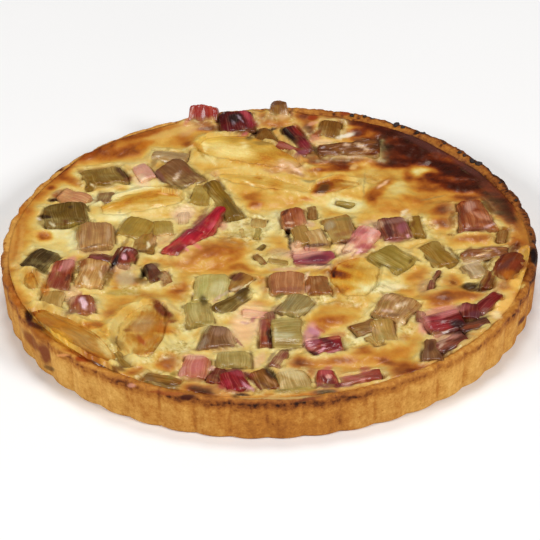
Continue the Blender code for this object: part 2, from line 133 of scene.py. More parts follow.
# The colours of the fruit: its flesh or skin, and the fibres in it
COLOURS = {
    "pale yellow": ("#E2C062", "#D4AA46"), "yellow": ("#D8B656", "#C69A3C"),
    "golden": ("#D8B04A", "#C89434"), "amber": ("#BA842E", "#A26A22"), "scorched": ("#7A3814", "#56200C"),
    "peach": ("#CA9460", "#AA5A40"), "pale green": ("#C4B26C", "#AA9A50"),
    "grey green": ("#AE9654", "#907838"), "dull green": ("#A08A52", "#7C6636"),
    "yellow olive": ("#A28636", "#7E661A"), "fresh olive": ("#94721E", "#B09040"),
    "light olive": ("#9C7424", "#785212"), "olive": ("#8A640E", "#68480A"),
    "dark olive": ("#6E500E", "#4C3408"), "black olive": ("#4A3206", "#2E1E04"),
    "striped olive": ("#92692A", "#B48E4C"), "olive brown": ("#84540E", "#5C340A"),
    "olive tan": ("#966218", "#6E460E"), "straw": ("#BC9C60", "#8E7030"),
    "grey beige": ("#B29264", "#906E44"), "beige": ("#B48850", "#8C5E34"),
    "striped beige": ("#AC8046", "#D2B276"), "cream": ("#C89856", "#946028"),
    "light tan": ("#B28842", "#94702E"), "tawny brown": ("#90601E", "#6E4414"),
    "tawny": ("#885810", "#AC7E3C"), "umber": ("#80542C", "#664022"), "brown": ("#885418", "#683C10"),
    "rust": ("#9A602C", "#784218"), "striped rust": ("#985A2E", "#C28A5C"),
    "rust brown": ("#885018", "#481C0A"), "black brown": ("#50240C", "#74402A"),
    "terracotta": ("#A85E30", "#763014"), "rose brown": ("#9C582E", "#6E2C18"),
    "mauve": ("#8E4E38", "#5E281E"), "brick": ("#8C3222", "#A04A3A"), "brick red": ("#963C1C", "#661E10"),
    "pale pink": ("#CC907A", "#DEA48E"), "pink": ("#C4785C", "#A24C40"), "rose": ("#C46C60", "#E8A696"),
    "crimson": ("#B4122A", "#820D1A"), "coral red": ("#A43022", "#6C1412"),
    "dark crimson": ("#901A22", "#660C12"), "purple": ("#882838", "#A2404E"),
    "maroon": ("#702210", "#480E0A"), "bright red": ("#9A1A0C", "#6A1008"),
    "wine red": ("#7A100C", "#520A0A"), "wine": ("#660E0C", "#300A08"),
}

# Apple slices
SLICES = [
    ("apple_01", "yellow", 0.10, 0, 0.3, -9, 94, 64, 37, 5.0, -27, 0, 6, 0.5),
    ("apple_02", "pale yellow", 0.10, 0, 0.2, -3, 66, 58, 17, 3.0, -20, 0, -6, 0.9),
    ("apple_03", "golden", 0.25, 0, 0.2, -67, 47.5, 47, 23, 3.2, 13, 0, 5, 0.9),
    ("apple_04", "golden", 0.35, 0, 0.2, 46.5, -27, 40, 27, 3.6, 80, 0, 5, 1.1),
    ("apple_05", "amber", 0.20, 0, 0.6, -63, -71, 51, 31, 4.2, 81, 0, -8, 0.9),
    ("apple_06", "amber", 0.25, 0, 0.7, -99, -77, 66, 21, 5.0, -50, 0, -6, 0.85, 1.0),
    ("apple_07", "scorched", 0.55, 0, 0.3, 125, -24, 32, 17, 6.0, 72, 4, 8, 1.1, 0.5),
    ("apple_08", "amber", 0.30, 0, 0.3, 36, 60, 30, 15, 3.0, 14, 0, 4, 0.9),
    ("apple_09", "amber", 0.15, 0, 0.3, -122, -25, 22, 12, 3.0, 100, 0, -5, 0.8),
]

STALKS = [
    # Rhubarb, back left
    ("rhubarb_01", "olive", 0.2, 0.5, 0.1, -88, 77, 20, 25, 4.5, 106, -6, 3, 0.95),
    ("rhubarb_02", "pale pink", 0.0, 0.1, 0.1, -67, 81, 17, 10, 2.6, 112, -4, 0, 0.8),
    ("rhubarb_03", "grey beige", 0.2, 0.2, 0.2, -53, 96, 20, 12, 3.4, -14, 0, -6),
    ("rhubarb_03", "umber", 0.3, 0.3, 0.5, -47, 77, 25, 19, 6.0, -52, -5, 4, 0.9),
    ("rhubarb_04", "peach", 0.2, 0.3, 0.3, -104, 56, 18, 12, 4.0, -35, 3, 6),
    ("rhubarb_05", "dark olive", 0.35, 0.7, 0.2, -107.5, 39, 20, 25, 5.4, 97, 5, -3, 0.95),
    ("rhubarb_06", "olive", 0.25, 0.5, 0.1, -24, 50, 38, 10, 4.4, -69, -2, 8, 1.1),
    ("rhubarb_06", "fresh olive", 0.1, 0.9, 0.2, -35.5, 56, 19, 11, 2.8, 82, 0, 0),
    # Rhubarb, back
    ("rhubarb_07", "bright red", 0.25, 0.4, 0.2, -34.5, 139.4, 15, 19, 11.5, 80, 58, 0, 0.85, -4),
    ("rhubarb_08", "wine", 0.55, 0.2, 0.6, -16, 130, 17, 20, 8.5, 97, 12, 6),
    ("rhubarb_09", "olive brown", 0.5, 0.3, 0.1, -1, 115, 15, 18, 3.8, 92, 6, 0, 0.25),
    ("rhubarb_10", "tawny brown", 0.2, 0.3, 0.5, 7.5, 141.7, 14, 14, 11.5, 86, 55, 4, 0.6, -4),
    ("rhubarb_11", "wine", 0.4, 0.3, 0.3, 18, 111, 27, 9, 5.2, -66, -4, 10, 1.2),
    ("rhubarb_11", "brick red", 0.1, 0.2, 0.2, 13.5, 99, 21, 10, 3.4, -34, 0, 0, 0.7),
    ("rhubarb_12", "olive brown", 0.2, 0.3, 0.2, 35, 121, 14, 14, 4.6, 78, 8, 0, 0.9),
    ("rhubarb_13", "rust brown", 0.5, 0.2, 1.0, 45, 99, 33, 14, 6.4, 2, 3, 8, 1.1),
    # Rhubarb, middle left
    ("rhubarb_14", "beige", 0.15, 0.6, 0.1, -90.5, 17, 22, 20, 6.2, 92, 4, 0),
    ("rhubarb_15", "fresh olive", 0.2, 0.5, 0.2, -70, 24, 17, 17, 4.4, 66, 3, 0),
    ("rhubarb_15", "tawny", 0.3, 0.4, 0.7, -65, 9, 15, 12, 4.2, 82, 2, -5),
    ("rhubarb_15", "fresh olive", 0.2, 0.5, 0.1, -56, 24, 13, 12, 2.8, 96, 3, 0),
    ("rhubarb_17", "black olive", 0.25, 0.5, 0.1, -119, -5, 20, 17, 3.6, 62, 0, 4, 0.9),
    ("rhubarb_18", "brick red", 0.3, 0.5, 0.5, -107.6, -19, 26, 14, 5.4, 81, 4, -8, 0.85),
    ("rhubarb_19", "cream", 0.2, 0.5, 0.7, -91.6, -18, 23, 15.5, 5.4, 80, 5, 4),
    ("rhubarb_20", "maroon", 0.3, 0.3, 0.4, -87, -4.5, 14, 8, 3.6, -22, 0, 0),
    ("rhubarb_20", "maroon", 0.5, 0.3, 0.5, -75.5, -4, 15, 13, 5.6, 70, 6, 5, 0.9),
    ("rhubarb_21", "black brown", 0.6, 0.3, 0.3, -60.5, -19, 15, 12, 4.6, 112, 6, 4, 0.45),
    ("rhubarb_22", "rose brown", 0.3, 0.3, 0.6, -96, -47.5, 16, 15, 4.8, 95, 5, 0, 0.8),
    ("rhubarb_23", "light tan", 0.1, 0.6, 0.1, -111, -42, 15, 13, 3.6, 84, 4, 0),
    # Rhubarb, middle
    ("rhubarb_24", "crimson", 0.15, 0.5, 0.4, -31, 28, 30, 13, 4.6, 66, 3, -8, 0.6),
    ("rhubarb_24", "crimson", 0.2, 0.4, 0.4, -44.5, 9, 26, 12, 4.2, 56, 2, 0, 1.1),
    ("rhubarb_25", "terracotta", 0.45, 0.2, 0.7, 13.3, 29.5, 18, 13, 5.6, 96, 6, 0),
    ("rhubarb_25", "striped olive", 0.2, 0.9, 0.1, 17, 13, 16, 10.5, 4.4, 104, 4, 0),
    ("rhubarb_25", "striped beige", 0.3, 0.9, 0.1, 24.6, 9.5, 15, 10, 4.8, 106, 2, 0),
    ("rhubarb_26", "striped olive", 0.25, 0.3, 0.1, 37.8, 18.5, 23, 15.5, 5.0, 101, 4, -5),
    ("rhubarb_27", "rose", 0.1, 0.2, 0.8, 49, 7.5, 25, 14, 4.6, 64, 2, 6, 1.1),
    ("rhubarb_16", "purple", 0.0, 0.1, 0.1, 23, -8, 22, 11, 3.4, 8, 0, -4),
    ("rhubarb_28", "striped rust", 0.2, 1.0, 0.1, 9, -32, 18, 20, 6.4, 90, 5, 0),
    ("rhubarb_28", "rust", 0.35, 0.7, 0.3, 24.4, -35, 16, 13.5, 5.2, 97, 3, 4),
    ("rhubarb_29", "pale green", 0.1, 0.3, 0.2, -30, -34.5, 22, 18, 4.4, 86, 3, -3),
    ("rhubarb_29", "tawny", 0.4, 0.3, 0.2, -16, -30.5, 16, 10, 4.0, 58, 3, 0),
    ("rhubarb_29", "dark olive", 0.2, 0.3, 0.1, -19, -46.5, 26, 10, 4.2, 47, 2, 6, 0.8),
    # Rhubarb, middle right
    ("rhubarb_30", "mauve", 0.25, 0.3, 0.3, 66, 17, 19, 17, 5.6, 104, 3, 5, 0.9),
    ("rhubarb_30", "light olive", 0.2, 0.5, 0.1, 77.5, 19, 19, 8, 4.2, 94, 2, 0, 0.8),
    ("rhubarb_31", "light olive", 0.2, 0.5, 0.1, 88, -8, 23, 14, 4.4, 116, 0, -5, 0.85),
    ("rhubarb_32", "yellow olive", 0.1, 0.9, 0.0, 64, -11, 21, 19, 3.8, 135, 2, 0),
    ("rhubarb_33", "terracotta", 0.55, 0.1, 0.9, 108.5, 28, 27, 23, 5.8, 98, 3, 5, 0.6),
    ("rhubarb_34", "rust", 0.4, 0.1, 1.0, 112, -9, 26, 12, 4.8, 6, 2, 5),
    ("rhubarb_35", "grey beige", 0.1, 0.4, 0.3, 106, -23.5, 14, 12, 2.8, 110, 0, 0),
    ("rhubarb_35", "brown", 0.2, 0.5, 0.2, 112.5, -33, 17, 8, 3.4, 76, 0, 0),
    # Rhubarb, front
    ("rhubarb_36", "grey green", 0.15, 0.5, 0.2, -36, -58, 20, 15, 4.4, 96, 2, 3),
    ("rhubarb_37", "umber", 0.1, 0.2, 0.1, -27, -79, 19, 20, 4.4, 88, 2, 0, 0.55),
    ("rhubarb_38", "grey green", 0.1, 0.5, 0.1, -18.5, -99, 12, 18, 3.8, 92, 2, 0),
    ("rhubarb_39", "pink", 0.2, 0.3, 0.3, -37.5, -105, 18, 15, 5.0, 82, 4, 0, 0.9),
    ("rhubarb_40", "dark crimson", 0.35, 0.3, 0.4, -18, -118, 16, 14, 5.4, 106, 3, -5, 0.85),
    ("rhubarb_41", "brown", 0.5, 0.7, 0.1, -4, -118, 17, 12, 4.6, 112, 3, 0, 0.8),
    ("rhubarb_41", "straw", 0.1, 0.3, 0.2, 10.5, -119, 17, 19, 4.2, 101, 3, 0, 0.8),
    ("rhubarb_42", "brick red", 0.4, 0.2, 0.2, -2.5, -75.5, 23, 7, 3.4, 88, 0, 0),
    ("rhubarb_42", "grey green", 0.15, 0.8, 0.2, 8, -75.5, 15, 24, 4.6, 2, 0, 2),
    ("rhubarb_43", "dull green", 0.2, 0.4, 0.2, 12.5, -52, 17, 15, 4.2, 62, 3, 0),
    ("rhubarb_44", "dark crimson", 0.3, 0.2, 0.7, 27, -88, 17, 15, 4.6, 14, 4, 0, 0.9),
    ("rhubarb_45", "coral red", 0.4, 0.2, 0.4, 27, -117, 14, 14, 4.4, 94, 6, 0, 0.6),
    ("rhubarb_45", "brick", 0.3, 0.3, 0.4, 43.5, -117, 22, 10, 4.0, 12, 4, 0, 0.9),
    ("rhubarb_46", "olive tan", 0.25, 0.5, 0.2, -54, -115.5, 20, 12, 3.6, -22, 0, 0, 0.8),
    ("rhubarb_48", "beige", 0.25, 0.1, 1.0, 63, -56, 20, 20, 5.4, 62, 2, 4),
    ("rhubarb_48", "light tan", 0.2, 0.4, 0.5, 57, -77, 19, 12, 3.6, 98, 2, 0, 1.1),
    # Rhubarb, front right
    ("rhubarb_49", "wine red", 0.35, 0.2, 0.3, 87, -70.5, 19, 17, 6.0, 18, 2, 4),
    ("rhubarb_49", "maroon", 0.2, 0.2, 0.2, 100.5, -62, 13, 11, 5.0, 80, 0, 0),
    ("rhubarb_49", "wine red", 0.35, 0.3, 0.2, 110, -55, 19, 9, 5.0, 52, 0, 0, 0.8),
    ("rhubarb_49", "black brown", 0.3, 0.6, 0.2, 102, -74, 17, 9, 4.4, 26, 0, 0),
    ("rhubarb_47", "mauve", 0.2, 0.4, 0.3, 89, -89, 19, 11, 4.4, 40, 0, 0, 0.9),
    ("rhubarb_47", "umber", 0.3, 0.2, 0.1, 79.5, -95.5, 18, 13, 4.6, 92, 3, 0, 0.45),
]

# Small bits of stalk that show between the pieces
SCRAPS = [
    ("bit", "light tan", 0.2, 0.2, 0.9, -5, 27, 9, 9, 2.0, 80, 0, 0, 0.9, 2.5),
    ("bit", "yellow olive", 0.2, 0.3, 0.4, -6, 16, 10, 3.4, 1.6, 84, 0, 0, 1.0, 2.0),
    ("bit", "dark olive", 0.3, 0.2, 0.4, -4.5, 3, 5.5, 3.2, 1.6, 60, 0, 0, 1.0, 2.0),
    ("bit", "brown", 0.2, 0.3, 0.3, -5, -9, 11, 4.0, 1.8, -62, 0, 0, 1.0, 2.0),
    ("bit", "light olive", 0.1, 0.3, 0.3, 4, -11, 11, 4.4, 1.4, -20, 0, 0, 1.0, 2.0),
    ("bit", "light tan", 0.1, 0.3, 0.3, -14, 17, 8, 3.4, 1.4, 100, 0, 0, 1.0, 2.0),
    ("bit", "yellow olive", 0.2, 0.3, 0.3, 41, 44, 10, 4.0, 1.6, -24, 0, 0, 1.0, 2.0),
    ("bit", "brown", 0.5, 0.3, 0.4, 47, -73, 14, 9, 2.6, 26, 0, 0, 1.2, 3.0),
    ("bit", "light olive", 0.2, 0.4, 0.2, -75, -98, 17, 7, 2.2, -62, 0, 0, 1.0, 3.0),
    ("bit", "brown", 0.2, 0.3, 0.4, 122, 9, 13, 6, 2.0, 80, 0, 0, 1.0, 3.0),
    ("bit", "maroon", 0.4, 0.3, 0.4, -27, -113, 13, 8, 3.0, 80, 0, 0, 1.0, 3.0),
    ("bit", "brown", 0.2, 0.3, 0.3, 23, 35, 12, 5, 2.0, 94, 0, 0, 1.0, 2.5),
    ("bit", "mauve", 0.1, 0.2, 0.3, 4, -98, 16, 7, 2.2, 68, 0, 0, 0.8, 3.0),
    ("bit", "rose", 0.1, 0.2, 0.4, -7, -59, 15, 8, 1.8, -6, 0, 0, 0.7, 3.0),
    ("bit", "mauve", 0.2, 0.2, 0.4, 0, -64, 13, 5, 2.4, 100, 0, 0, 1.0, 3.0),
    ("bit", "beige", 0.1, 0.2, 0.3, -45, 33, 13, 7, 2.0, 90, 0, 0, 0.9, 2.5),
    ("bit", "maroon", 0.2, 0.3, 0.2, 84.5, -32, 19, 3.6, 2.4, 72, 0, 0, 0.8, 2.5),
    ("bit", "umber", 0.1, 0.2, 0.2, -87, 55, 12, 9, 1.6, 85, 0, 0, 0.9, 2.5),
    ("bit", "umber", 0.3, 0.2, 0.2, 25, 3, 13, 5.5, 2.6, 8, 0, 0, 1.0, 3.0),
    ("bit", "rust", 0.2, 0.3, 0.3, -54, -24, 13, 6, 2.2, -72, 0, 0, 1.0, 2.5),
    ("bit", "rust", 0.2, 0.3, 0.2, -63, 27, 9, 3.2, 1.8, -66, 0, 0, 1.0, 2.0),
    ("bit", "yellow olive", 0.2, 0.3, 0.3, -68, 7, 11, 6, 2.0, 70, 0, 0, 1.0, 2.5),
    ("bit", "mauve", 0.2, 0.3, 0.4, 76, -65, 9, 5, 2.0, 84, 0, 0, 1.0, 2.5),
    ("bit", "light tan", 0.2, 0.2, 0.6, 52, -86, 12, 7, 1.8, -70, 0, 0, 0.8, 2.5),
]

PIECES = pieces("slice", SLICES) + pieces("stalk", STALKS)
BITS = pieces("stalk", SCRAPS)

# Low swellings where slices lie under the custard: x, y, length, width, height and heading
SWELLINGS = [
    (0, 48, 42, 16, 1.4, 10),
    (38, 76, 26, 16, 1.8, 4),
    (64, 46, 46, 26, 2.0, 74),
    (-31, -3, 44, 28, 2.4, 24),
    (33, -62, 26, 22, 1.8, 10),
    (92, 30, 30, 26, 1.6, 80),
    (107, 3, 26, 14, 1.5, 4),
    (68, 103, 60, 30, 1.6, -40),
    (104, 66, 44, 24, 1.4, -52),
    (88, -48, 34, 18, 1.6, 20),
    (50, -98, 40, 18, 1.6, 20),
    (-88, 99, 50, 12, 1.2, 38),
    (-48, -98, 24, 18, 1.4, 60),
    (22, -101, 24, 12, 1.4, -10),
]

# Where the oven browned the tart, and one painted shadow: x, y, length, width, heading and how far it browned
BROWNED = [
    # Along the back left
    (-76, 102, 34, 14, 30, 0.3), (-68, 108, 16, 8, 45, 0.2), (-98, 98, 16, 10, 45, 0.15),
    (-88, 107, 18, 8, 38, 0.2), (-96, 66, 16, 7, -20, 0.25), (-79, 64, 10, 6, 0, 0.25),
    (-110, 86, 20, 9, 52, 0.25), (-104, 72, 16, 9, -35, 0.3), (-112, 78, 14, 7, 50, 0.1),
    (-72, 118, 30, 8, 28, 0.15), (-116, 66, 6, 6, 0, 0.3), (-42, 108, 12, 8, -20, 0.3),
    (-32, 125, 20, 6, 10, 0.5), (-48, 112, 16, 10, 30, 0.1),
    # Left
    (-118, 18, 13, 9, 100, 0.55), (-110, 14, 32, 28, 0, -0.25), (-92, 54, 34, 14, 10, -0.25),
    (-76, 50, 16, 7, 35, 0.3), (-63, 57, 20, 7, 18, 0.35), (-53, 57, 12, 6, -20, 0.3),
    (-48, 64, 16, 10, 0, 0.3), (-60, 92, 12, 14, 0, 0.25), (-84, 35, 30, 14, 0, -0.2),
    (-66, 66, 34, 10, 20, -0.2), (-20, 25, 24, 12, 60, -0.15), (-47, -34, 15, 13, 20, 0.28),
    (-62, -44, 12, 10, 60, 0.15), (-80, -22, 8, 26, 0, 0.2), (-66, -28, 12, 8, 0, 0.3),
    (-90, -66, 16, 7, -5, 0.3), (-84, -74, 9, 12, 0, 0.25), (-81, -57, 8, 10, 60, 0.15),
    (-88, -93, 24, 6, -45, 0.3), (-122, -18, 10, 16, 0, 0.2), (-66, -106, 9, 11, 80, 0.3),
    (-51, -101, 15, 15, 60, 0.28), (-52, -72, 8, 14, 80, 0.3), (-47, -96, 10, 22, 85, 0.22),
    (-85, -100, 18, 6, -42, 0.5),
    # Middle
    (-31, 0, 48, 24, 10, 0.22), (-28, 1, 14, 9, 20, 0.12), (-21, -10, 26, 6, 38, 0.18),
    (-45, -9, 26, 11, 8, 0.12), (-33, -10, 16, 4, 40, -0.1), (-12, 4, 12, 18, 0, 0.15),
    (-15, -18, 16, 10, -50, 0.15), (-47, 0, 10, 8, 0, 0.3), (-6, -28, 9, 18, 80, 0.22),
    (-2, -38, 9, 9, 0, 0.4), (-7, 53, 14, 16, 90, 0.12), (-7, 44, 10, 8, 0, 0.28),
    (4, 63, 8, 13, 0, 0.22), (-9, 66, 14, 10, 40, 0.14), (-5, 71, 4, 4, 0, 0.45),
    (-2, 91, 18, 13, -40, 0.28), (-5, 85, 52, 8, -18, 0.25), (2, 26, 30, 20, 80, -0.2),
    (40, 42, 34, 16, -16, -0.25), (20, 116, 70, 30, 0, 0.2), (26, 93, 56, 10, -8, 0.35),
    # The strip at 38, 87 is a painted shadow in front of the back piece rhubarb_13
    (40, 80, 26, 10, 5, 0.36), (38, 87, 40, 9, 0, 0.55), (38, 68, 14, 10, 40, 0.3),
    (30, 60, 16, 10, 62, 0.85), (27, 55, 9, 8, 0, 0.4), (27, 78, 5, 18, 92, 0.3),
    (21, 49, 8, 4, -30, 0.35), (33, -18, 4, 5, 0, 0.6), (-6, -48, 13, 15, 80, 0.14),
    (35, -25, 9, 17, 68, 0.62), (39, -15, 9, 15, 52, 0.4), (36, -39, 8, 18, 105, 0.36),
    (43, -11, 11, 8, 40, 0.25), (50, -24, 18, 20, 0, 0.08),
    # Middle right
    (55, 46, 16, 7, 95, 0.25), (68, 57, 28, 18, 20, -0.18), (56, -37, 34, 12, 10, -0.25),
    (76, 46, 10, 12, 80, 0.12), (66, 38, 20, 16, 0, 0.08), (94, 35, 17, 14, 40, 0.42),
    (95, 22, 12, 22, 80, 0.36), (108, 7, 26, 9, 0, 0.38), (106, 46, 16, 9, 0, 0.3),
    (78, -22, 15, 10, -40, 0.18), (74, -30, 13, 16, 0, 0.16), (93, -34, 13, 10, 0, 0.25),
    (92, -46, 30, 12, 10, 0.25), (104, -47, 18, 8, 5, 0.25), (120, -38, 14, 10, 60, 0.4),
    (112, -38, 10, 12, 0, 0.4), (86, -52, 18, 10, 20, 0.18), (127, 4, 8, 36, 0, 0.3),
    (124, 14, 3, 12, 88, 0.4),
    # The burnt back right
    (80, 98, 40, 32, -58, 0.5), (79, 96, 24, 14, -62, 0.15), (72, 112, 34, 16, -38, 0.4),
    (94, 92, 30, 16, -45, 0.35), (101, 73, 30, 16, -50, 0.62), (88, 84, 22, 14, -30, 0.5),
    (110, 74, 34, 14, -58, 0.5), (116, 56, 34, 16, -66, 0.52), (123, 36, 28, 16, -76, 0.58),
    (62, 102, 36, 16, 84, 0.52), (65, 86, 20, 18, 0, 0.55), (74, 82, 16, 12, 20, 0.35),
    (76, 70, 16, 7, 86, 0.35), (86, 82, 14, 8, 20, 0.15), (83, 75, 15, 9, 24, -0.3),
    (92, 67, 22, 12, -40, 0.5), (86, 65, 24, 10, 0, 0.35), (104, 58, 24, 14, -10, 0.6),
    (112, 24, 40, 6, 84, 0.2), (86, 58, 26, 12, 0, 0.3), (60, 57, 24, 8, 58, 0.3),
    (66, 63, 10, 6, 50, 0.2), (54, 124, 30, 10, -24, 0.35), (50, 116, 16, 12, 40, 0.25),
    (66, 104, 18, 26, 10, 0.28), (64, 84, 16, 12, 0, 0.3), (75, 84, 20, 10, 0, 0.3),
    (100, 68, 18, 12, -40, 0.2), (128, 22, 22, 10, -80, 0.4), (53, 88, 14, 7, -20, 0.3),
    # Back rim
    (31, 134, 44, 12, -8, 0.25), (46, 129, 18, 16, 0, 0.3), (4, 131, 26, 16, 0, 0.35),
    (23, 120, 12, 26, 0, 0.45), (-40, 136, 14, 14, 0, 0.35), (-12, 117, 10, 8, 0, 0.3),
    (46, 117, 24, 10, 10, 0.35), (57, 108, 8, 22, 84, 0.45),
    # Front
    (-44, -82, 26, 14, 80, -0.2), (44, -84, 20, 14, 60, -0.25), (-12, -76, 34, 20, 80, -0.15),
    (56, -66, 14, 10, 0, -0.15), (33, -67, 26, 11, 5, 0.25), (26, -73, 8, 7, 0, 0.25),
    (-28, -90, 20, 5, 0, 0.3), (10, -112, 150, 12, 0, 0.14), (45, -93, 9, 17, 88, 0.32),
    (30, -102, 36, 9, 0, 0.28), (15, -104, 18, 14, -30, 0.4), (20, -112, 10, 12, -60, 0.38),
    (25, -128, 14, 6, 0, 0.45), (65, -83, 9, 8, 0, 0.3), (95, -84, 20, 8, 40, 0.4),
    (70, -116, 50, 10, 36, 0.25), (57, -104, 7, 12, 60, 0.3), (52, -90, 14, 24, 0, 0.12),
    (60, -97, 22, 10, 10, 0.12), (66, -110, 24, 12, 22, 0.3), (-33, -124, 24, 9, -22, 0.35),
    (-20, -122, 40, 6, -10, 0.3), (-24, -128, 12, 5, -30, 0.2),
]

# Where the custard curdled round the fruit: x, y, length, width, heading and how far
CURDLED = [
    (-10, 22, 36, 26, 70, 1.0), (-32, 52, 34, 24, 85, 0.7), (-46, 44, 14, 14, 0, 0.6),
    (60, -38, 28, 10, 10, 1.0), (28, -46, 16, 12, -40, 1.0), (42, -50, 18, 12, 0, 0.7),
    (-44, -80, 36, 12, 85, 0.8), (-58, -94, 26, 12, 20, 0.8), (-75, -35, 28, 10, 0, 0.8),
    (-50, -24, 12, 20, 0, 0.6), (41, -84, 18, 12, 70, 0.9), (70, -70, 26, 10, 80, 0.8),
    (84, 20, 32, 10, -60, 0.6), (96, -18, 26, 10, -62, 0.8), (108, -20, 20, 14, 0, 0.7),
    (52, -60, 22, 12, 70, 0.6), (22, 76, 18, 10, 90, 0.4), (-104, 28, 12, 8, 0, 0.5),
    (14, -45, 32, 10, 0, 0.6), (-36, -46, 26, 22, 80, 0.5), (6, -62, 22, 8, 0, 0.4),
    (-66, 20, 30, 22, 70, 0.4), (0, -4, 16, 14, 0, 0.6), (56, 68, 22, 10, 80, 0.3),
]
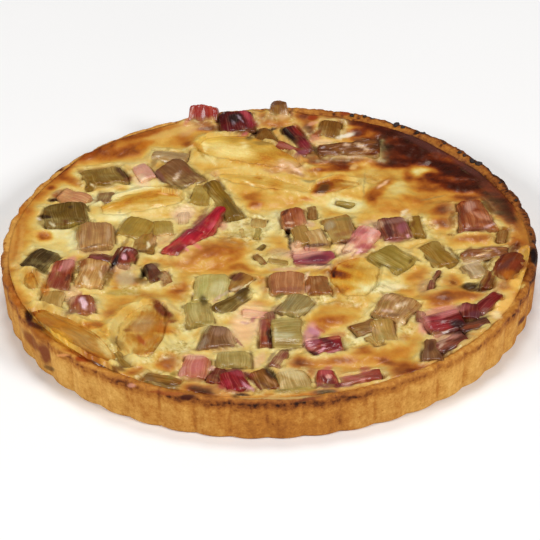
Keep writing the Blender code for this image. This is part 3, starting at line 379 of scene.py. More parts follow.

# Juice, skins and other marks, with painted highlights, painted shade and a painted sheen among them: x, y,
# length, width, heading, colour and strength
MARKS = [
    # Pink juice in the custard
    (-45, 37, 20, 13, 80, "#EAC4A0", 0.7), (-56, 12, 18, 10, 40, "#DDAE80", 0.5),
    (-12, -68, 40, 18, 78, "#EDBE90", 0.75), (20, -80, 24, 9, 86, "#D28C93", 0.8),
    (18, -4, 22, 12, 10, "#DA9A88", 0.8), (14, 2, 12, 6, 80, "#E8BE9A", 0.8),
    (26, -17, 22, 5, 0, "#E8C096", 0.7), (77, -72, 20, 7, 88, "#DC9088", 0.7),
    (88, -83, 18, 6, 10, "#C88A78", 0.7), (88, -60, 26, 8, 14, "#CC8478", 0.7),
    (-78, -14, 18, 8, 0, "#CFA27C", 0.6), (41, -2, 14, 14, 0, "#F2D2A4", 0.8),
    (-101, -38, 18, 8, 80, "#D8AE84", 0.6), (-6, -100, 14, 6, 80, "#E0B48C", 0.6),
    (55, 22, 14, 10, 0, "#E4C2A0", 0.5),
    # Cloudy custard
    (-14, 25, 14, 6, 0, "#AE8A58", 0.5), (-11, 18, 12, 5, 60, "#B0964A", 0.5),
    (-20, 15, 10, 5, 20, "#B89C58", 0.4), (-74, -24, 16, 12, 90, "#B4A888", 0.6),
    (5, -4, 12, 12, 0, "#C4B48C", 0.4), (-75, -37, 20, 6, 0, "#A8903E", 0.7),
    (105, -17, 12, 6, 0, "#C2A888", 0.7), (62, -38, 16, 6, 10, "#F2E2AE", 0.8),
    # Skins and specks
    (79, -38, 14, 8, 70, "#A06A54", 0.55), (-9, -64, 6, 3, 80, "#A85A60", 0.8),
    (-13, -67, 5, 3, 0, "#9A6070", 0.6), (11, 7, 20, 2.2, 92, "#3A1C0A", 0.9),
    (11.6, -6, 9, 1.8, 84, "#7E3E24", 0.8), (-16, -84, 12, 1.6, -62, "#A05A4A", 0.9),
    (-42, 124, 18, 8, 52, "#D2A870", 0.5), (72, 33, 9, 3, 60, "#F4E4B8", 0.7),
    (95, 10, 4, 3, 0, "#8A5410", 0.8), (-79, 40, 4, 1, 90, "#8A6A20", 0.8),
    (52, 62, 30, 1.4, 86, "#8A7C4A", 0.5), (88, 47, 16, 1.4, 20, "#8A7440", 0.6),
    (97, -12, 18, 1.6, -68, "#6E5018", 0.8), (102, -24, 10, 1.4, -50, "#6E5830", 0.7),
    # In the gaps between the pieces: painted shade, over crevices sunk into the custard where it is darkest
    (-28, 124, 12, 6, -20, "#6A3010", 0.8), (-14, 120, 9, 5, 0, "#5A2A10", 0.85),
    (-2, 107, 14, 5, -10, "#7E5620", 0.7), (14, 111, 16, 4, -62, "#4E3010", 0.85),
    (23, 96, 12, 5, -30, "#7A4A1C", 0.7), (-62, 88, 10, 4, 80, "#86683A", 0.7),
    (-87, 66, 14, 4, 6, "#8A6428", 0.7), (-120, 38, 14, 4, 88, "#7A5418", 0.8),
    (-117, -16, 12, 4, -30, "#5A4414", 0.85), (-82, -18, 18, 4.4, 84, "#6A3A18", 0.85),
    (-66, -27, 10, 6, -20, "#74501C", 0.8), (-46, 0, 10, 5, 40, "#A0581A", 0.7),
    (-76, -104, 12, 5, -30, "#6A3A10", 0.85), (-31, -89, 18, 3.4, 2, "#7A5430", 0.8),
    (92, -79, 14, 4, 24, "#541812", 0.9), (30, -123, 20, 4, 0, "#6A3020", 0.8),
    (-11, -125, 12, 4, -20, "#6E3A1C", 0.7), (117, 38, 18, 4, -70, "#5A3010", 0.85),
    (97, 26, 18, 4, 84, "#8A5420", 0.8), (69, 5.5, 18, 4, 10, "#7E5A2A", 0.8),
    (47, -5, 14, 4, 20, "#8A3A38", 0.7), (25, -15, 16, 3, 0, "#5A2A38", 0.8),
    (106, -42, 14, 5, -10, "#4A2410", 0.9), (127, -4, 12, 5, 60, "#542410", 0.85),
    (5, -44, 10, 4, 60, "#766430", 0.8), (30, 59, 12, 7, 62, "#481C06", 0.9),
    (-48, 63, 16, 4, -12, "#6E5218", 0.8), (-38, 78, 16, 3, -58, "#7A5A20", 0.7),
    (-20, 44, 20, 3.4, -66, "#5A4210", 0.8), (-34, 40, 8, 4, 50, "#8A5A28", 0.6),
    (86, -30, 14, 4, 74, "#7A4A28", 0.6), (39, -5, 12, 3, 30, "#8E5A40", 0.6),
    (0, -98, 12, 3, 70, "#6E4A40", 0.6), (73, 26, 6, 4, 0, "#D8B880", 0.7),
    (62, -44, 16, 3, -10, "#8E6A38", 0.6), (73, -62, 16, 3, -62, "#8A5A34", 0.7),
    # On the back left pieces, with painted highlights
    (-78, 79, 20, 4.5, -62, "#481C08", 0.95), (-75, 73, 8, 5, 60, "#7A3C22", 0.7),
    (-94, 67, 6, 1.6, -60, "#E6D49C", 0.7), (-58, 75, 14, 5, -70, "#7C4A4A", 0.7),
    (-59, 96, 10, 3, 20, "#C8B48C", 0.6), (-49, 74, 9, 2.4, 62, "#E6C8A8", 0.9),
    (-43, 81, 8, 4, -60, "#7A3A1A", 0.6), (-113, 60, 10, 5, 60, "#8C3A1A", 0.8),
    (-115, 53, 6, 5, 0, "#2E0C04", 1.0), (-105, 46, 3.5, 4, 0, "#3E2408", 0.9),
    (-118, 37, 9, 4, -14, "#2E1206", 0.95), (-106, 31, 8, 3, -30, "#5E2A0A", 0.8),
    (-117, 30, 12, 7, -30, "#8C7440", 0.6), (-121, 35, 4, 2, -40, "#E8D8C0", 0.8),
    (-102, 27, 12, 6, -60, "#A08834", 0.7), (-114, 29, 6, 2, -60, "#D8CFA8", 0.7),
    (-32, 64, 14, 3, 94, "#5A3E08", 0.8), (-33, 57, 10, 2, 94, "#B89848", 0.7),
    (-28, 76, 8, 6, 90, "#D0A884", 0.4), (-20, 34, 12, 12, 0, "#5E4210", 0.6),
    (-58, 43, 5, 10, 0, "#E4C470", 0.4),
    # On the back pieces, with painted highlights
    (-35, 146, 24, 20, 0, "#9C2614", 0.8), (-43, 136, 22, 3, 74, "#C07058", 0.7),
    (-35, 129, 12, 6, 10, "#7A2C0C", 0.7), (-30, 147, 10, 5, -30, "#B4482E", 0.6),
    (-10, 136, 26, 5, -64, "#B03C48", 0.85), (-8, 128, 10, 5, 80, "#8C1A2A", 0.8),
    (-17, 134, 12, 8, 70, "#120606", 0.9), (-14, 133, 10, 1.6, -70, "#A8909C", 0.8),
    (-18, 129, 8, 1.4, 86, "#9A8890", 0.6), (-22, 124, 12, 5, -50, "#5E0E1A", 0.8),
    (-12, 117, 8, 2, 62, "#B85A5C", 0.8), (-24, 137, 20, 5, 72, "#3E1216", 0.8),
    (3, 122, 6, 4, 20, "#3E2208", 0.95), (-7, 116, 15, 4, 50, "#3C1A08", 0.9),
    (1, 137, 12, 3, 74, "#C89C5C", 0.6), (6, 142, 16, 3, 84, "#8A5C14", 0.7),
    (10, 137, 12, 5, 80, "#D8AC7C", 0.6), (14, 139, 14, 2.4, 84, "#8C4A34", 0.6),
    (6, 149, 14, 5, 0, "#54280A", 0.8), (12, 117, 18, 5, -62, "#1E0402", 1.0),
    (18, 120, 16, 5, -70, "#8A1A0E", 0.8), (21, 104, 12, 8, -60, "#86182A", 0.8),
    (19, 96, 12, 6, 30, "#94485A", 0.8), (10, 104, 14, 4, -40, "#B4685C", 0.7),
    (26, 133, 7, 7, 0, "#8E2E10", 0.85), (44, 137, 7, 6, 0, "#8A3412", 0.85),
    (26, 127, 9, 3, 30, "#D89A78", 0.7), (27, 116, 14, 4, 60, "#8A3414", 0.7),
    (31, 107, 12, 7, 0, "#E8C48C", 0.9), (26, 111, 10, 6, 50, "#D08A6A", 0.8),
    (43, 113, 12, 5, 30, "#F0E6CC", 0.9), (30, 98, 14, 9, -30, "#561E06", 0.8),
    (36, 94, 16, 3, -26, "#A87858", 0.5), (44, 103, 8, 3, -60, "#E0BC9C", 0.9),
    (52, 101, 12, 3.4, -58, "#E4C098", 0.9), (47, 91, 14, 2, 8, "#D0B098", 0.7),
    (60, 102, 14, 5, 76, "#42200C", 0.8), (46, 99, 8, 5, -60, "#6E4014", 0.7),
    (52, 108, 10, 4, -20, "#7E5230", 0.7), (26, 90, 18, 4, -30, "#8A5428", 0.5),
    # On the apple slices, with painted highlights
    (-30, 110, 18, 14, 0, "#EBC95C", 0.6), (-20, 100, 34, 14, -26, "#F6DF90", 0.7),
    (-34, 105, 12, 3, 96, "#FBEBA8", 0.7), (-12, 104, 12, 3.4, 100, "#FBE8A4", 0.8),
    (12, 82, 22, 14, -26, "#CC9868", 0.75), (8, 84, 14, 3, 80, "#E8BC90", 0.7),
    (15, 80, 16, 3, -60, "#F0C8A4", 0.8), (2, 78, 12, 5, -20, "#A8683C", 0.6),
    (16, 74, 12, 4, -30, "#8E5C34", 0.7), (23, 66, 10, 3, -10, "#8A7A4C", 0.6),
    (-36, 98, 18, 2.4, -66, "#A87E20", 0.6), (-30, 90, 14, 2, -60, "#EEDAA0", 0.6),
    (-10, 66, 9, 1.6, -50, "#F6E4B0", 0.9), (-56, 57, 6, 2, -30, "#F4C08A", 0.8),
    (27, 53, 8, 4, 10, "#F0CC90", 0.6), (47, 80, 6, 4, 60, "#F0C478", 0.7),
    (62, 62, 12, 2.4, 56, "#F4C08E", 0.9), (-68, 71, 16, 8, -70, "#F0D0A4", 0.7),
    (-49, -53, 20, 5, -54, "#D8A860", 0.3), (-55, -53, 24, 7, -62, "#6A2210", 0.95),
    (-50, -64, 6, 4, 0, "#7E3410", 0.8), (-54, -68, 14, 8, 80, "#B0621E", 0.6),
    (-65, -80, 12, 3.4, -70, "#A04414", 0.85), (-72, -71, 5, 4, 0, "#8E5218", 0.85),
    (-59, -79, 8, 3, 50, "#A87034", 0.6), (-76, -83, 16, 5, -62, "#8C6A34", 0.6),
    (-64, -66, 18, 12, 70, "#BC9A70", 0.5), (-83, -86, 20, 5, -70, "#EAD68C", 0.6),
    (-122, -57, 14, 5, 100, "#2E0A02", 1.0), (-118, -66, 14, 5, -46, "#4A1406", 0.95),
    (-113, -62, 12, 8, -30, "#A0601E", 0.7), (-104, -78, 26, 7, -57, "#E2A62E", 0.8),
    (-115, -74, 20, 6, -50, "#9A5410", 0.8), (-94, -80, 26, 9, -52, "#B48848", 0.7),
    (-104, -86, 18, 4, -40, "#C08A30", 0.5), (-104, -92, 6, 3, 0, "#EAA060", 0.7),
    (-93, -95, 10, 7, 0, "#8E2E02", 0.9), (-84, -100, 18, 4, -40, "#4A1408", 0.95),
    (-97, -90, 16, 4, -30, "#A04A10", 0.7), (137, -12, 18, 5, 92, "#1C0A06", 1.0),
    (122, -18, 18, 4, 54, "#5A302C", 0.7), (128, -20, 14, 9, 60, "#84341A", 0.7),
    (123, -29, 10, 10, 0, "#B06414", 0.8), (126, -37, 9, 9, 80, "#DDAE54", 0.9),
    (128, -40, 6, 2.4, 60, "#F4DC8A", 0.8), (117, -58, 24, 9, 64, "#E6B25C", 0.9),
    (114, -65, 6, 8, 0, "#EED49A", 0.8), (121, -61, 14, 3, 56, "#A86A20", 0.7),
    (125, -62, 4, 5, 60, "#7A3C16", 0.9), (-115, -33, 12, 5, 96, "#B4660E", 0.8),
    (-119, -25, 10, 8, 0, "#C89038", 0.6),
    # On the middle left pieces, with painted highlights
    (-94, 21, 20, 2.6, 92, "#84502E", 0.7), (-87, 22, 18, 2.4, 88, "#8E5A34", 0.6),
    (-84, 18, 16, 3, 86, "#C8A27C", 0.6), (-98, 14, 18, 3, 84, "#C09C74", 0.6),
    (-92, 7, 13, 2, 26, "#6A4418", 0.9), (-92, 2, 18, 7, 0, "#AE8258", 0.6),
    (-100, 5, 6, 3, 0, "#DCC08C", 0.7), (-74, 24, 9, 7, 70, "#7E6428", 0.7),
    (-64, 12, 5, 10, 0, "#8E6E18", 0.6), (-63, 7, 8, 2, 84, "#ECDCB0", 0.9),
    (-60, 6, 6, 4, 60, "#7E5A1C", 0.7), (-66, 1, 10, 3, 6, "#5E3A14", 0.8),
    (-76, 8, 22, 3, 74, "#7A5A28", 0.7), (-112, -17, 20, 4, 80, "#A03C34", 0.7),
    (-104, -9, 16, 7, 70, "#C98478", 0.85), (-109, -27, 14, 7, 80, "#7A2418", 0.7),
    (-108, -14, 6, 2, 60, "#D88080", 0.8), (-104, -22, 8, 3, 70, "#4A1A10", 0.8),
    (-106, -31, 10, 6, 90, "#7A3C20", 0.7), (-97, -9, 10, 5, 84, "#8A4412", 0.9),
    (-92, -16, 10, 3, 60, "#A86C30", 0.6), (-94, -26, 14, 3, -70, "#EACFA0", 0.8),
    (-87, -20, 9, 2, -80, "#E8C8A4", 0.8), (-85, -16, 14, 3, 86, "#7A3E20", 0.7),
    (-84, -26, 12, 5, 80, "#846028", 0.7), (-92, -12, 14, 5, 30, "#D8B080", 0.6),
    (-89, -4, 8, 4, -20, "#8C4A48", 0.7), (-80, -8, 16, 3.4, 76, "#200A08", 1.0),
    (-75, -4, 7, 3, 90, "#E8A8B0", 0.95), (-74, -8, 10, 3, 20, "#8A2C14", 0.7),
    (-71, -3, 12, 3, -66, "#A4483C", 0.7), (-72, 3, 10, 3, -50, "#8E4A40", 0.6),
    (-64, -18, 18, 4.5, 72, "#1E0E08", 0.95), (-60, -13, 8, 6, 60, "#72503C", 0.8),
    (-59, -22, 8, 5, 40, "#4E1808", 0.8), (-54, -24, 16, 3, 80, "#B48C60", 0.8),
    (-95, -46, 12, 4, -80, "#F0C8D0", 0.95), (-98, -42, 14, 3, 76, "#8A3028", 0.7),
    (-90, -50, 10, 4, 80, "#A8685C", 0.7), (-101, -54, 10, 6, 20, "#8A6A48", 0.7),
    (-106, -43, 14, 3, 66, "#C8A868", 0.7), (-114, -44, 12, 4, 84, "#A07C38", 0.6),
    # On the middle pieces, with painted highlights
    (-37, 27, 26, 6, 68, "#7E2432", 0.8), (-43, 18, 12, 6, 60, "#7A3038", 0.7),
    (-30, 25, 10, 4, 70, "#DC5A68", 0.7), (-27, 33, 12, 3, 80, "#C22234", 0.7),
    (-42, 12, 10, 6, 60, "#BC2030", 0.8), (-38, 6, 12, 3, -60, "#E07C70", 0.7),
    (-48, 3, 12, 8, 40, "#78141E", 0.8), (-43, 3, 8, 2, -70, "#EC9494", 0.8),
    (-24, 24, 6, 10, 0, "#C05A5E", 0.5), (9, 36, 8, 3, 60, "#4A1A0C", 0.9),
    (10, 28, 12, 5, 90, "#8A4A32", 0.7), (11, 25, 5, 3, 20, "#E4B89A", 0.8),
    (11, 20, 4, 3, 0, "#E8C8A8", 0.8), (10, 16, 10, 4, 86, "#3A1808", 0.95),
    (16, 38, 10, 3, -10, "#8A4028", 0.7), (17, 29, 14, 5, 90, "#BC7452", 0.7),
    (22, 24, 8, 5, -50, "#DCAC88", 0.7), (25, 3, 13, 4.4, 8, "#5C3426", 0.9),
    (29, 15, 12, 2.4, -74, "#5A3C14", 0.8), (27, 12, 10, 2, -74, "#E0C496", 0.8),
    (14, 4, 6, 8, 0, "#DDAE86", 0.6), (39, 28, 14, 3, 12, "#7C6A30", 0.8),
    (32, 22, 10, 6, 80, "#A89878", 0.7), (40, 14, 14, 5, 20, "#8A5224", 0.7),
    (40, 6, 12, 5, 30, "#6E2E24", 0.8), (44, 20, 20, 2, -82, "#8A6A44", 0.7),
    (48, 15, 10, 6, 40, "#B4545A", 0.7), (54, 14, 12, 4, 64, "#EEB8AC", 0.8),
    (50, 10, 8, 4, 60, "#D8807A", 0.7), (53, 7, 8, 3, 60, "#F4C8B4", 0.85),
    (48, 1, 10, 5, 20, "#A84048", 0.8), (47, -3, 6, 2, 70, "#F0B4B4", 0.8),
    (53, 0, 8, 4, 20, "#9A3038", 0.8), (25, -9, 15, 8, 10, "#5C1A2C", 0.9),
    (20, -12, 12, 4, -20, "#8A4450", 0.6), (8, -19, 18, 4, 0, "#CCA080", 0.7),
    (10, -38, 18, 6, 4, "#844430", 0.7), (1, -33, 12, 3, 86, "#7A3818", 0.7),
    (19, -26, 10, 2.4, 70, "#F0CCA4", 0.9), (19, -38, 8, 3, 80, "#E0A88C", 0.7),
    (24, -30, 8, 4, 60, "#B08454", 0.5), (28, -36, 12, 6, 84, "#7E5428", 0.6),
    (-34, -33, 20, 5, 80, "#A8A054", 0.7), (-26, -34, 14, 9, 80, "#CCC28E", 0.7),
    (-17, -25, 9, 9, 0, "#5E2210", 0.95), (-13, -33, 12, 3, 54, "#B48A48", 0.7),
    (-12, -33, 12, 1.4, 54, "#ECDCA8", 0.8), (-20, -38, 16, 2.4, 34, "#C8B090", 0.85),
    (-27, -44, 10, 3, 60, "#C4A08C", 0.7), (-14, -38, 10, 3, 44, "#3E2606", 0.8),
    (-7, -40, 14, 8, 74, "#F0DC90", 0.7), (-34, -46, 11, 4.4, 98, "#4A380A", 0.9),
    (-40, -50, 12, 5, 70, "#A89848", 0.6), (-38, -56, 16, 6, 84, "#BCAA68", 0.7),
    (-34, -66, 12, 4, 10, "#8E7A34", 0.7), (-42, -70, 10, 3, -60, "#8A7038", 0.7),
    # On the middle right pieces, with painted highlights
    (63, 17, 22, 4.4, 98, "#4A1C18", 0.9), (67, 25, 12, 5, 14, "#9A6E60", 0.7),
    (70, 18, 12, 6, 80, "#94505A", 0.8), (73, 10, 5, 1.6, 90, "#F0B0B8", 0.8),
    (66, 7, 14, 5, 6, "#8E4248", 0.8), (57, 22, 6, 5, 40, "#B08464", 0.7),
    (76, 22, 8, 3, 70, "#6A3A0C", 0.8), (79, 14, 16, 3, 88, "#8A6428", 0.6),
    (74, 29, 8, 4, 80, "#E8CC94", 0.8), (86, 2, 16, 6, 100, "#A8904C", 0.6),
    (88, -6, 16, 6, 100, "#866214", 0.7), (94, -6, 14, 2.6, 112, "#D8C48A", 0.8),
    (96, -8, 16, 2.6, -66, "#6E5018", 0.8), (84, -13, 10, 3, -54, "#8C7848", 0.7),
    (96, -16, 6, 3, -60, "#7A5C2C", 0.8), (58, -12, 12, 4, 110, "#B8A868", 0.6),
    (73, -14, 5, 2, 76, "#6A4A10", 0.95), (64, -20, 14, 3, -30, "#7A6420", 0.8),
    (57, -16, 8, 3, -40, "#6A5010", 0.8), (72, -6, 10, 5, 80, "#C8B070", 0.5),
    (102, 30, 20, 6, 84, "#6E2C12", 0.85), (107, 38, 12, 7, 80, "#C0907C", 0.7),
    (110, 34, 6, 3.4, -70, "#7E3208", 0.95), (112, 28, 14, 5, -40, "#C48464", 0.8),
    (116, 36, 16, 3, -66, "#6E4818", 0.8), (116, 18, 10, 2.4, 40, "#D4A8A0", 0.9),
    (104, 17, 8, 3, 80, "#C89A8A", 0.8), (108, 15, 18, 6, 0, "#743A2C", 0.8),
    (114, 22, 12, 4, 10, "#7E3E28", 0.7), (106, -8, 8, 4, 50, "#7A3C14", 0.8),
    (110, -9, 9, 2.4, 30, "#E8BC88", 0.85), (118, -6, 10, 2, -70, "#D8A898", 0.8),
    (113, -13, 14, 5, 10, "#8A6430", 0.7), (113, -16, 6, 2.6, 10, "#4E3414", 0.85),
    (103, -6, 12, 4, 64, "#74401E", 0.8), (114, -3, 24, 3, 4, "#7A4624", 0.7),
    (121, -7, 12, 5, -10, "#6E3A1C", 0.6), (103, -38, 12, 7, 10, "#2E1002", 1.0),
    (112, -32, 18, 2.4, 74, "#5E1E08", 0.9), (94, -35, 6, 3, -50, "#6E3208", 0.8),
    (110, -40, 8, 4, 70, "#6A2008", 0.8), (105, -24, 14, 5, -60, "#C8AE88", 0.7),
    (101, -23, 16, 2, -62, "#8A6A3C", 0.7), (119, -34, 14, 3, -76, "#A8844C", 0.6),
    (116, -44, 8, 3, -60, "#B89068", 0.6),
    # On the front pieces, with painted highlights
    (-33, -72, 10, 5, 70, "#B8A870", 0.6), (-34, -84, 14, 5, 70, "#A08A72", 0.6),
    (-26, -74, 10, 7, 80, "#A07A60", 0.7), (-24, -87, 16, 5, 0, "#7E5434", 0.7),
    (-22, -92, 16, 4, 4, "#A89862", 0.6), (-10, -97, 16, 2.4, 96, "#8A6A38", 0.7),
    (-22, -103, 14, 4, -30, "#8A7034", 0.6), (-38, -96, 12, 5, 0, "#DCA48A", 0.8),
    (-37, -104, 14, 8, 80, "#C4706A", 0.7), (-30, -106, 5, 3, 40, "#F0C0B0", 0.8),
    (-37, -113, 16, 5, 0, "#A85A48", 0.6), (-44, -108, 12, 3, 80, "#D4988A", 0.7),
    (-36, -116, 20, 4, -4, "#8E4A20", 0.7), (-20, -108, 14, 3, 6, "#5A2024", 0.85),
    (-15, -111, 14, 5, -20, "#9C4048", 0.7), (-23, -120, 10, 6, 60, "#A82A38", 0.8),
    (-18, -125, 12, 5, -10, "#8E1420", 0.8), (-16, -129, 10, 3, 0, "#2A0808", 0.95),
    (-12, -122, 12, 2.4, -56, "#D490A0", 0.8), (-9, -118, 22, 2.4, -62, "#6E2418", 0.8),
    (-1, -111, 12, 5, -70, "#33160A", 0.95), (-4, -121, 14, 2, -56, "#5E3010", 0.8),
    (-1, -118, 14, 2, -60, "#B8865A", 0.6), (5, -121, 10, 3, 80, "#D8BC88", 0.7),
    (10, -112, 16, 8, -30, "#DCC58E", 0.8), (12, -126, 18, 6, 4, "#8E742A", 0.8),
    (5, -127, 8, 4, 0, "#7E6430", 0.6), (-1, -80, 22, 3, 92, "#2E0E08", 0.9),
    (-4, -68, 14, 4, 96, "#8E4038", 0.8), (-3, -86, 8, 4, -40, "#7A3A20", 0.7),
    (8, -64, 14, 4, 4, "#B0A05C", 0.7), (9, -70, 14, 3, 8, "#8A7834", 0.7),
    (6, -79, 12, 7, 0, "#BDB488", 0.8), (8, -86, 14, 4, 4, "#8C6E34", 0.8),
    (9, -91, 14, 2.4, 6, "#5A3818", 0.85), (2, -76, 10, 2.4, 88, "#D4CCA0", 0.7),
    (3, -56, 10, 6, 74, "#8A6448", 0.7), (5, -60, 6, 3, -60, "#6A4020", 0.7),
    (10, -50, 12, 5, 70, "#7E6E44", 0.7), (18, -56, 14, 4, 30, "#C8BC90", 0.7),
    (18, -50, 12, 3, 40, "#8E7A4A", 0.6), (21, -76, 10, 5, -50, "#C08090", 0.8),
    (25, -75, 8, 3, -60, "#A84C3A", 0.7), (22, -84, 10, 5, 84, "#8A3444", 0.8),
    (28, -85, 12, 5, -50, "#4A0A14", 0.85), (31, -90, 12, 4, -40, "#6A1018", 0.8),
    (25, -92, 7, 2, 60, "#E09AA8", 0.85), (31, -94, 8, 2.4, 20, "#B46474", 0.8),
    (21, -95, 7, 3, -40, "#3A0A10", 0.9), (33, -80, 10, 6, 20, "#B8683E", 0.6),
    (27, -111, 10, 6, 60, "#B85454", 0.8), (27, -118, 10, 7, -50, "#5A1418", 0.8),
    (28, -115, 4, 3, 60, "#E8A898", 0.8), (24, -122, 10, 3, -40, "#8A5448", 0.7),
    (35, -123, 8, 3, 10, "#C48C80", 0.7), (32, -123, 6, 4, 70, "#6A1A1E", 0.8),
    (39, -117, 12, 4, -20, "#B46258", 0.7), (46, -111, 8, 6, 70, "#A03A3C", 0.8),
    (45, -119, 5, 3, 60, "#D48C80", 0.8), (53, -116, 8, 4, 20, "#7A3A2C", 0.8),
    (-60, -113, 10, 6, -50, "#5E4420", 0.7), (-52, -119, 16, 4, -14, "#5A3A12", 0.8),
    (-49, -112, 10, 4, 60, "#8A7024", 0.7),
    # On the front right pieces, with painted highlights
    (60, -47, 12, 4, -40, "#C49A70", 0.7), (66, -54, 10, 4, 40, "#E4C8A0", 0.85),
    (58, -53, 8, 5, 60, "#8A6424", 0.7), (59, -59, 8, 3, -10, "#D8B49C", 0.85),
    (61, -63, 12, 3, 6, "#7A5234", 0.8), (68, -60, 8, 3, 70, "#A07850", 0.7),
    (65, -70, 10, 3, 80, "#E2C89A", 0.8), (62, -75, 14, 3, 86, "#A8784A", 0.7),
    (55, -83, 10, 4, 80, "#A89458", 0.7), (52, -76, 8, 4, -60, "#C09A70", 0.6),
    (83, -67, 10, 5, 20, "#9E2A34", 0.8), (84, -74, 14, 8, 0, "#940E1A", 0.85),
    (90, -62, 14, 5, 30, "#C46E6C", 0.85), (94, -72, 9, 9, 0, "#200608", 0.95),
    (96, -79, 12, 4, 30, "#3A0E0C", 0.85), (98, -57, 8, 6, 60, "#8A3A3A", 0.7),
    (103, -64, 8, 8, 60, "#5E2A34", 0.8), (110, -56, 12, 5, 60, "#7E2424", 0.8),
    (113, -48, 12, 4, 70, "#7A1810", 0.85), (108, -62, 8, 5, 60, "#8A5A50", 0.7),
    (101, -74, 12, 3, 20, "#8A3C18", 0.7), (106, -68, 12, 3, 24, "#3E1A0C", 0.8),
    (95, -84, 12, 4, 40, "#4A1808", 0.85), (85, -87, 8, 5, 60, "#B08A70", 0.7),
    (87, -95, 14, 4, 46, "#4A160A", 0.9), (84, -91, 6, 2, 70, "#C8A088", 0.7),
    (79, -91, 12, 4, 80, "#4A1E10", 0.85), (76, -99, 12, 6, 90, "#74503A", 0.7),
    (84, -100, 8, 4, 50, "#5E3010", 0.8),
    # On the pastry, and a painted sheen on the burnt custard inside the back right rim
    (-121, -79, 24, 6, -66, "#7E3A16", 0.85), (-114, -91, 22, 6.5, 96, "#74301A", 0.9),
    (-112, -104, 8, 4, -40, "#4A2A1A", 0.7), (128, -71, 11, 2.6, 66, "#5A2A24", 0.9),
    (-42, -130, 9, 6, 20, "#3E1408", 0.95), (-24, -128, 14, 5, -40, "#D49448", 0.7),
    (-52, -126, 20, 4, -6, "#9A4A1A", 0.6), (2, -132, 40, 2.4, 0, "#C8A866", 0.8),
    (18, -134, 14, 3, 10, "#7A3A20", 0.6), (-69, -119, 5, 4, -20, "#E09C80", 0.7),
    (103, -94, 4, 2, 70, "#6A3410", 0.8), (-134, 85, 10, 10, 0, "#A05A20", 0.5),
    (-114, 84, 10, 5, 50, "#4E1E08", 0.8), (-98, 98, 14, 6, 50, "#A04C0C", 0.7),
    (-88, 107, 10, 4, 60, "#A85A18", 0.7), (-134, -27, 26, 4, -70, "#A0561C", 0.6),
    (-129, -43, 16, 5, -78, "#A85810", 0.8), (-132, 43, 20, 6, 76, "#B0600C", 0.7),
    (-135, 12, 60, 5, 88, "#D6A04E", 0.5), (-130, 0, 70, 3, 90, "#D8A858", 0.5),
    (-52, 121, 34, 7, 26, "#D4B060", 0.6), (-67, 108, 14, 6, 50, "#C07010", 0.5),
    # The next three marks are a painted sheen, purple brown, on the burnt custard inside the rim
    (86, 102, 40, 7, -46, "#6B4038", 0.4), (108, 78, 30, 7, -58, "#74443A", 0.4),
    (119, 55, 26, 7, -68, "#74402E", 0.4), (133, 14, 40, 5, -84, "#A8702E", 0.5),
]

# Flecks and crumbs burnt black on the rim at the back right: heading and size
BLACK_CRUMBS = [
    (69.5, 3.0), (66.5, 2.6), (58.4, 4.2), (56.6, 3.0), (52.4, 3.2), (51.0, 2.6), (44.5, 2.0),
    (39.6, 2.8), (38.2, 2.6), (35.2, 4.4), (33.4, 4.0), (24.0, 2.2), (16.0, 2.4),
]


FAR = 99.0
SLOPE_SEEDS = np.array([[127.1, 311.7, 74.7], [269.5, 183.3, 246.1], [113.5, 271.9, 124.6]])


def linear(hex_colour):
    """An sRGB hex colour as linear red, green, blue and alpha."""
    channels = [int(hex_colour[i:i + 2], 16) / 255 for i in (1, 3, 5)]
    return [c / 12.92 if c <= 0.04045 else ((c + 0.055) / 1.055) ** 2.4 for c in channels] + [1.0]


def rgb(hex_colour):
    """The same without alpha, as an array."""
    return np.array(linear(hex_colour)[:3])


def at_height(x, y, height=0.0):
    """Places in a plane as points."""
    return np.stack([x, y, np.full(len(x), height)], 1)


def lumps(points, size, seed=0.0):
    """Smooth noise of about -1 to 1 at each point: size is that of its lumps along x, y and z."""
    place = points / np.asarray(size, float) + (17.3 + seed, 5.1 + 1.7 * seed, 9.7 - seed)
    cell = np.floor(place)
    inside = place - cell
    ease = inside ** 3 * (inside * (inside * 6 - 15) + 10)
    total = np.zeros(len(points))
    for corner in np.ndindex(2, 2, 2):
        lattice = cell + corner
        slopes = [np.modf(np.sin(lattice @ row) * 43758.5453)[0] for row in SLOPE_SEEDS]
        share = np.prod(np.where(corner, ease, 1 - ease), 1)
        total += share * np.sum(np.stack(slopes, 1) * (inside - corner), 1)
    return 1.6 * total


def smooth_step(low, high, value):
    t = np.clip((value - low) / (high - low), 0, 1)
    return t * t * (3 - 2 * t)


def in_oval(x, y, spot):
    """Places relative to an oval spot, as a share of its half length and half width."""
    turn = math.radians(spot[4])
    dx, dy = x - spot[0], y - spot[1]
    along = (dx * math.cos(turn) + dy * math.sin(turn)) * 2 / spot[2]
    across = (dy * math.cos(turn) - dx * math.sin(turn)) * 2 / spot[3]
    return along, across


BURNT_AREA = (88, 88, 120, 60, -48)
MOUND_HEIGHT = 2.0
TOP_SHIFT = VIEW_SLANT * (CUSTARD_LEVEL + 1 - SEEN_LEVEL)


def seen(points):
    """Where points are seen on the level of the custard, wandering a little so that spots are uneven."""
    sway_x = 0.9 * lumps(points, 6.0, 11.0) + 0.45 * lumps(points, 1.8, 12.0)
    sway_y = 0.9 * lumps(points, 6.0, 13.0) + 0.45 * lumps(points, 1.8, 14.0)
    return points[:, 0] + sway_x, points[:, 1] + VIEW_SLANT * (points[:, 2] - SEEN_LEVEL) + sway_y


# Marks at least this strong and at most this light, painted shade in the gaps among them, are crevices, and
# sink into the custard
CREVICE_STRENGTH = 0.8
CREVICE_LIGHT = 0.12
CREVICES = [
    spot for spot in MARKS
    if spot[6] >= CREVICE_STRENGTH and sum(linear(spot[5])[:3]) < CREVICE_LIGHT]


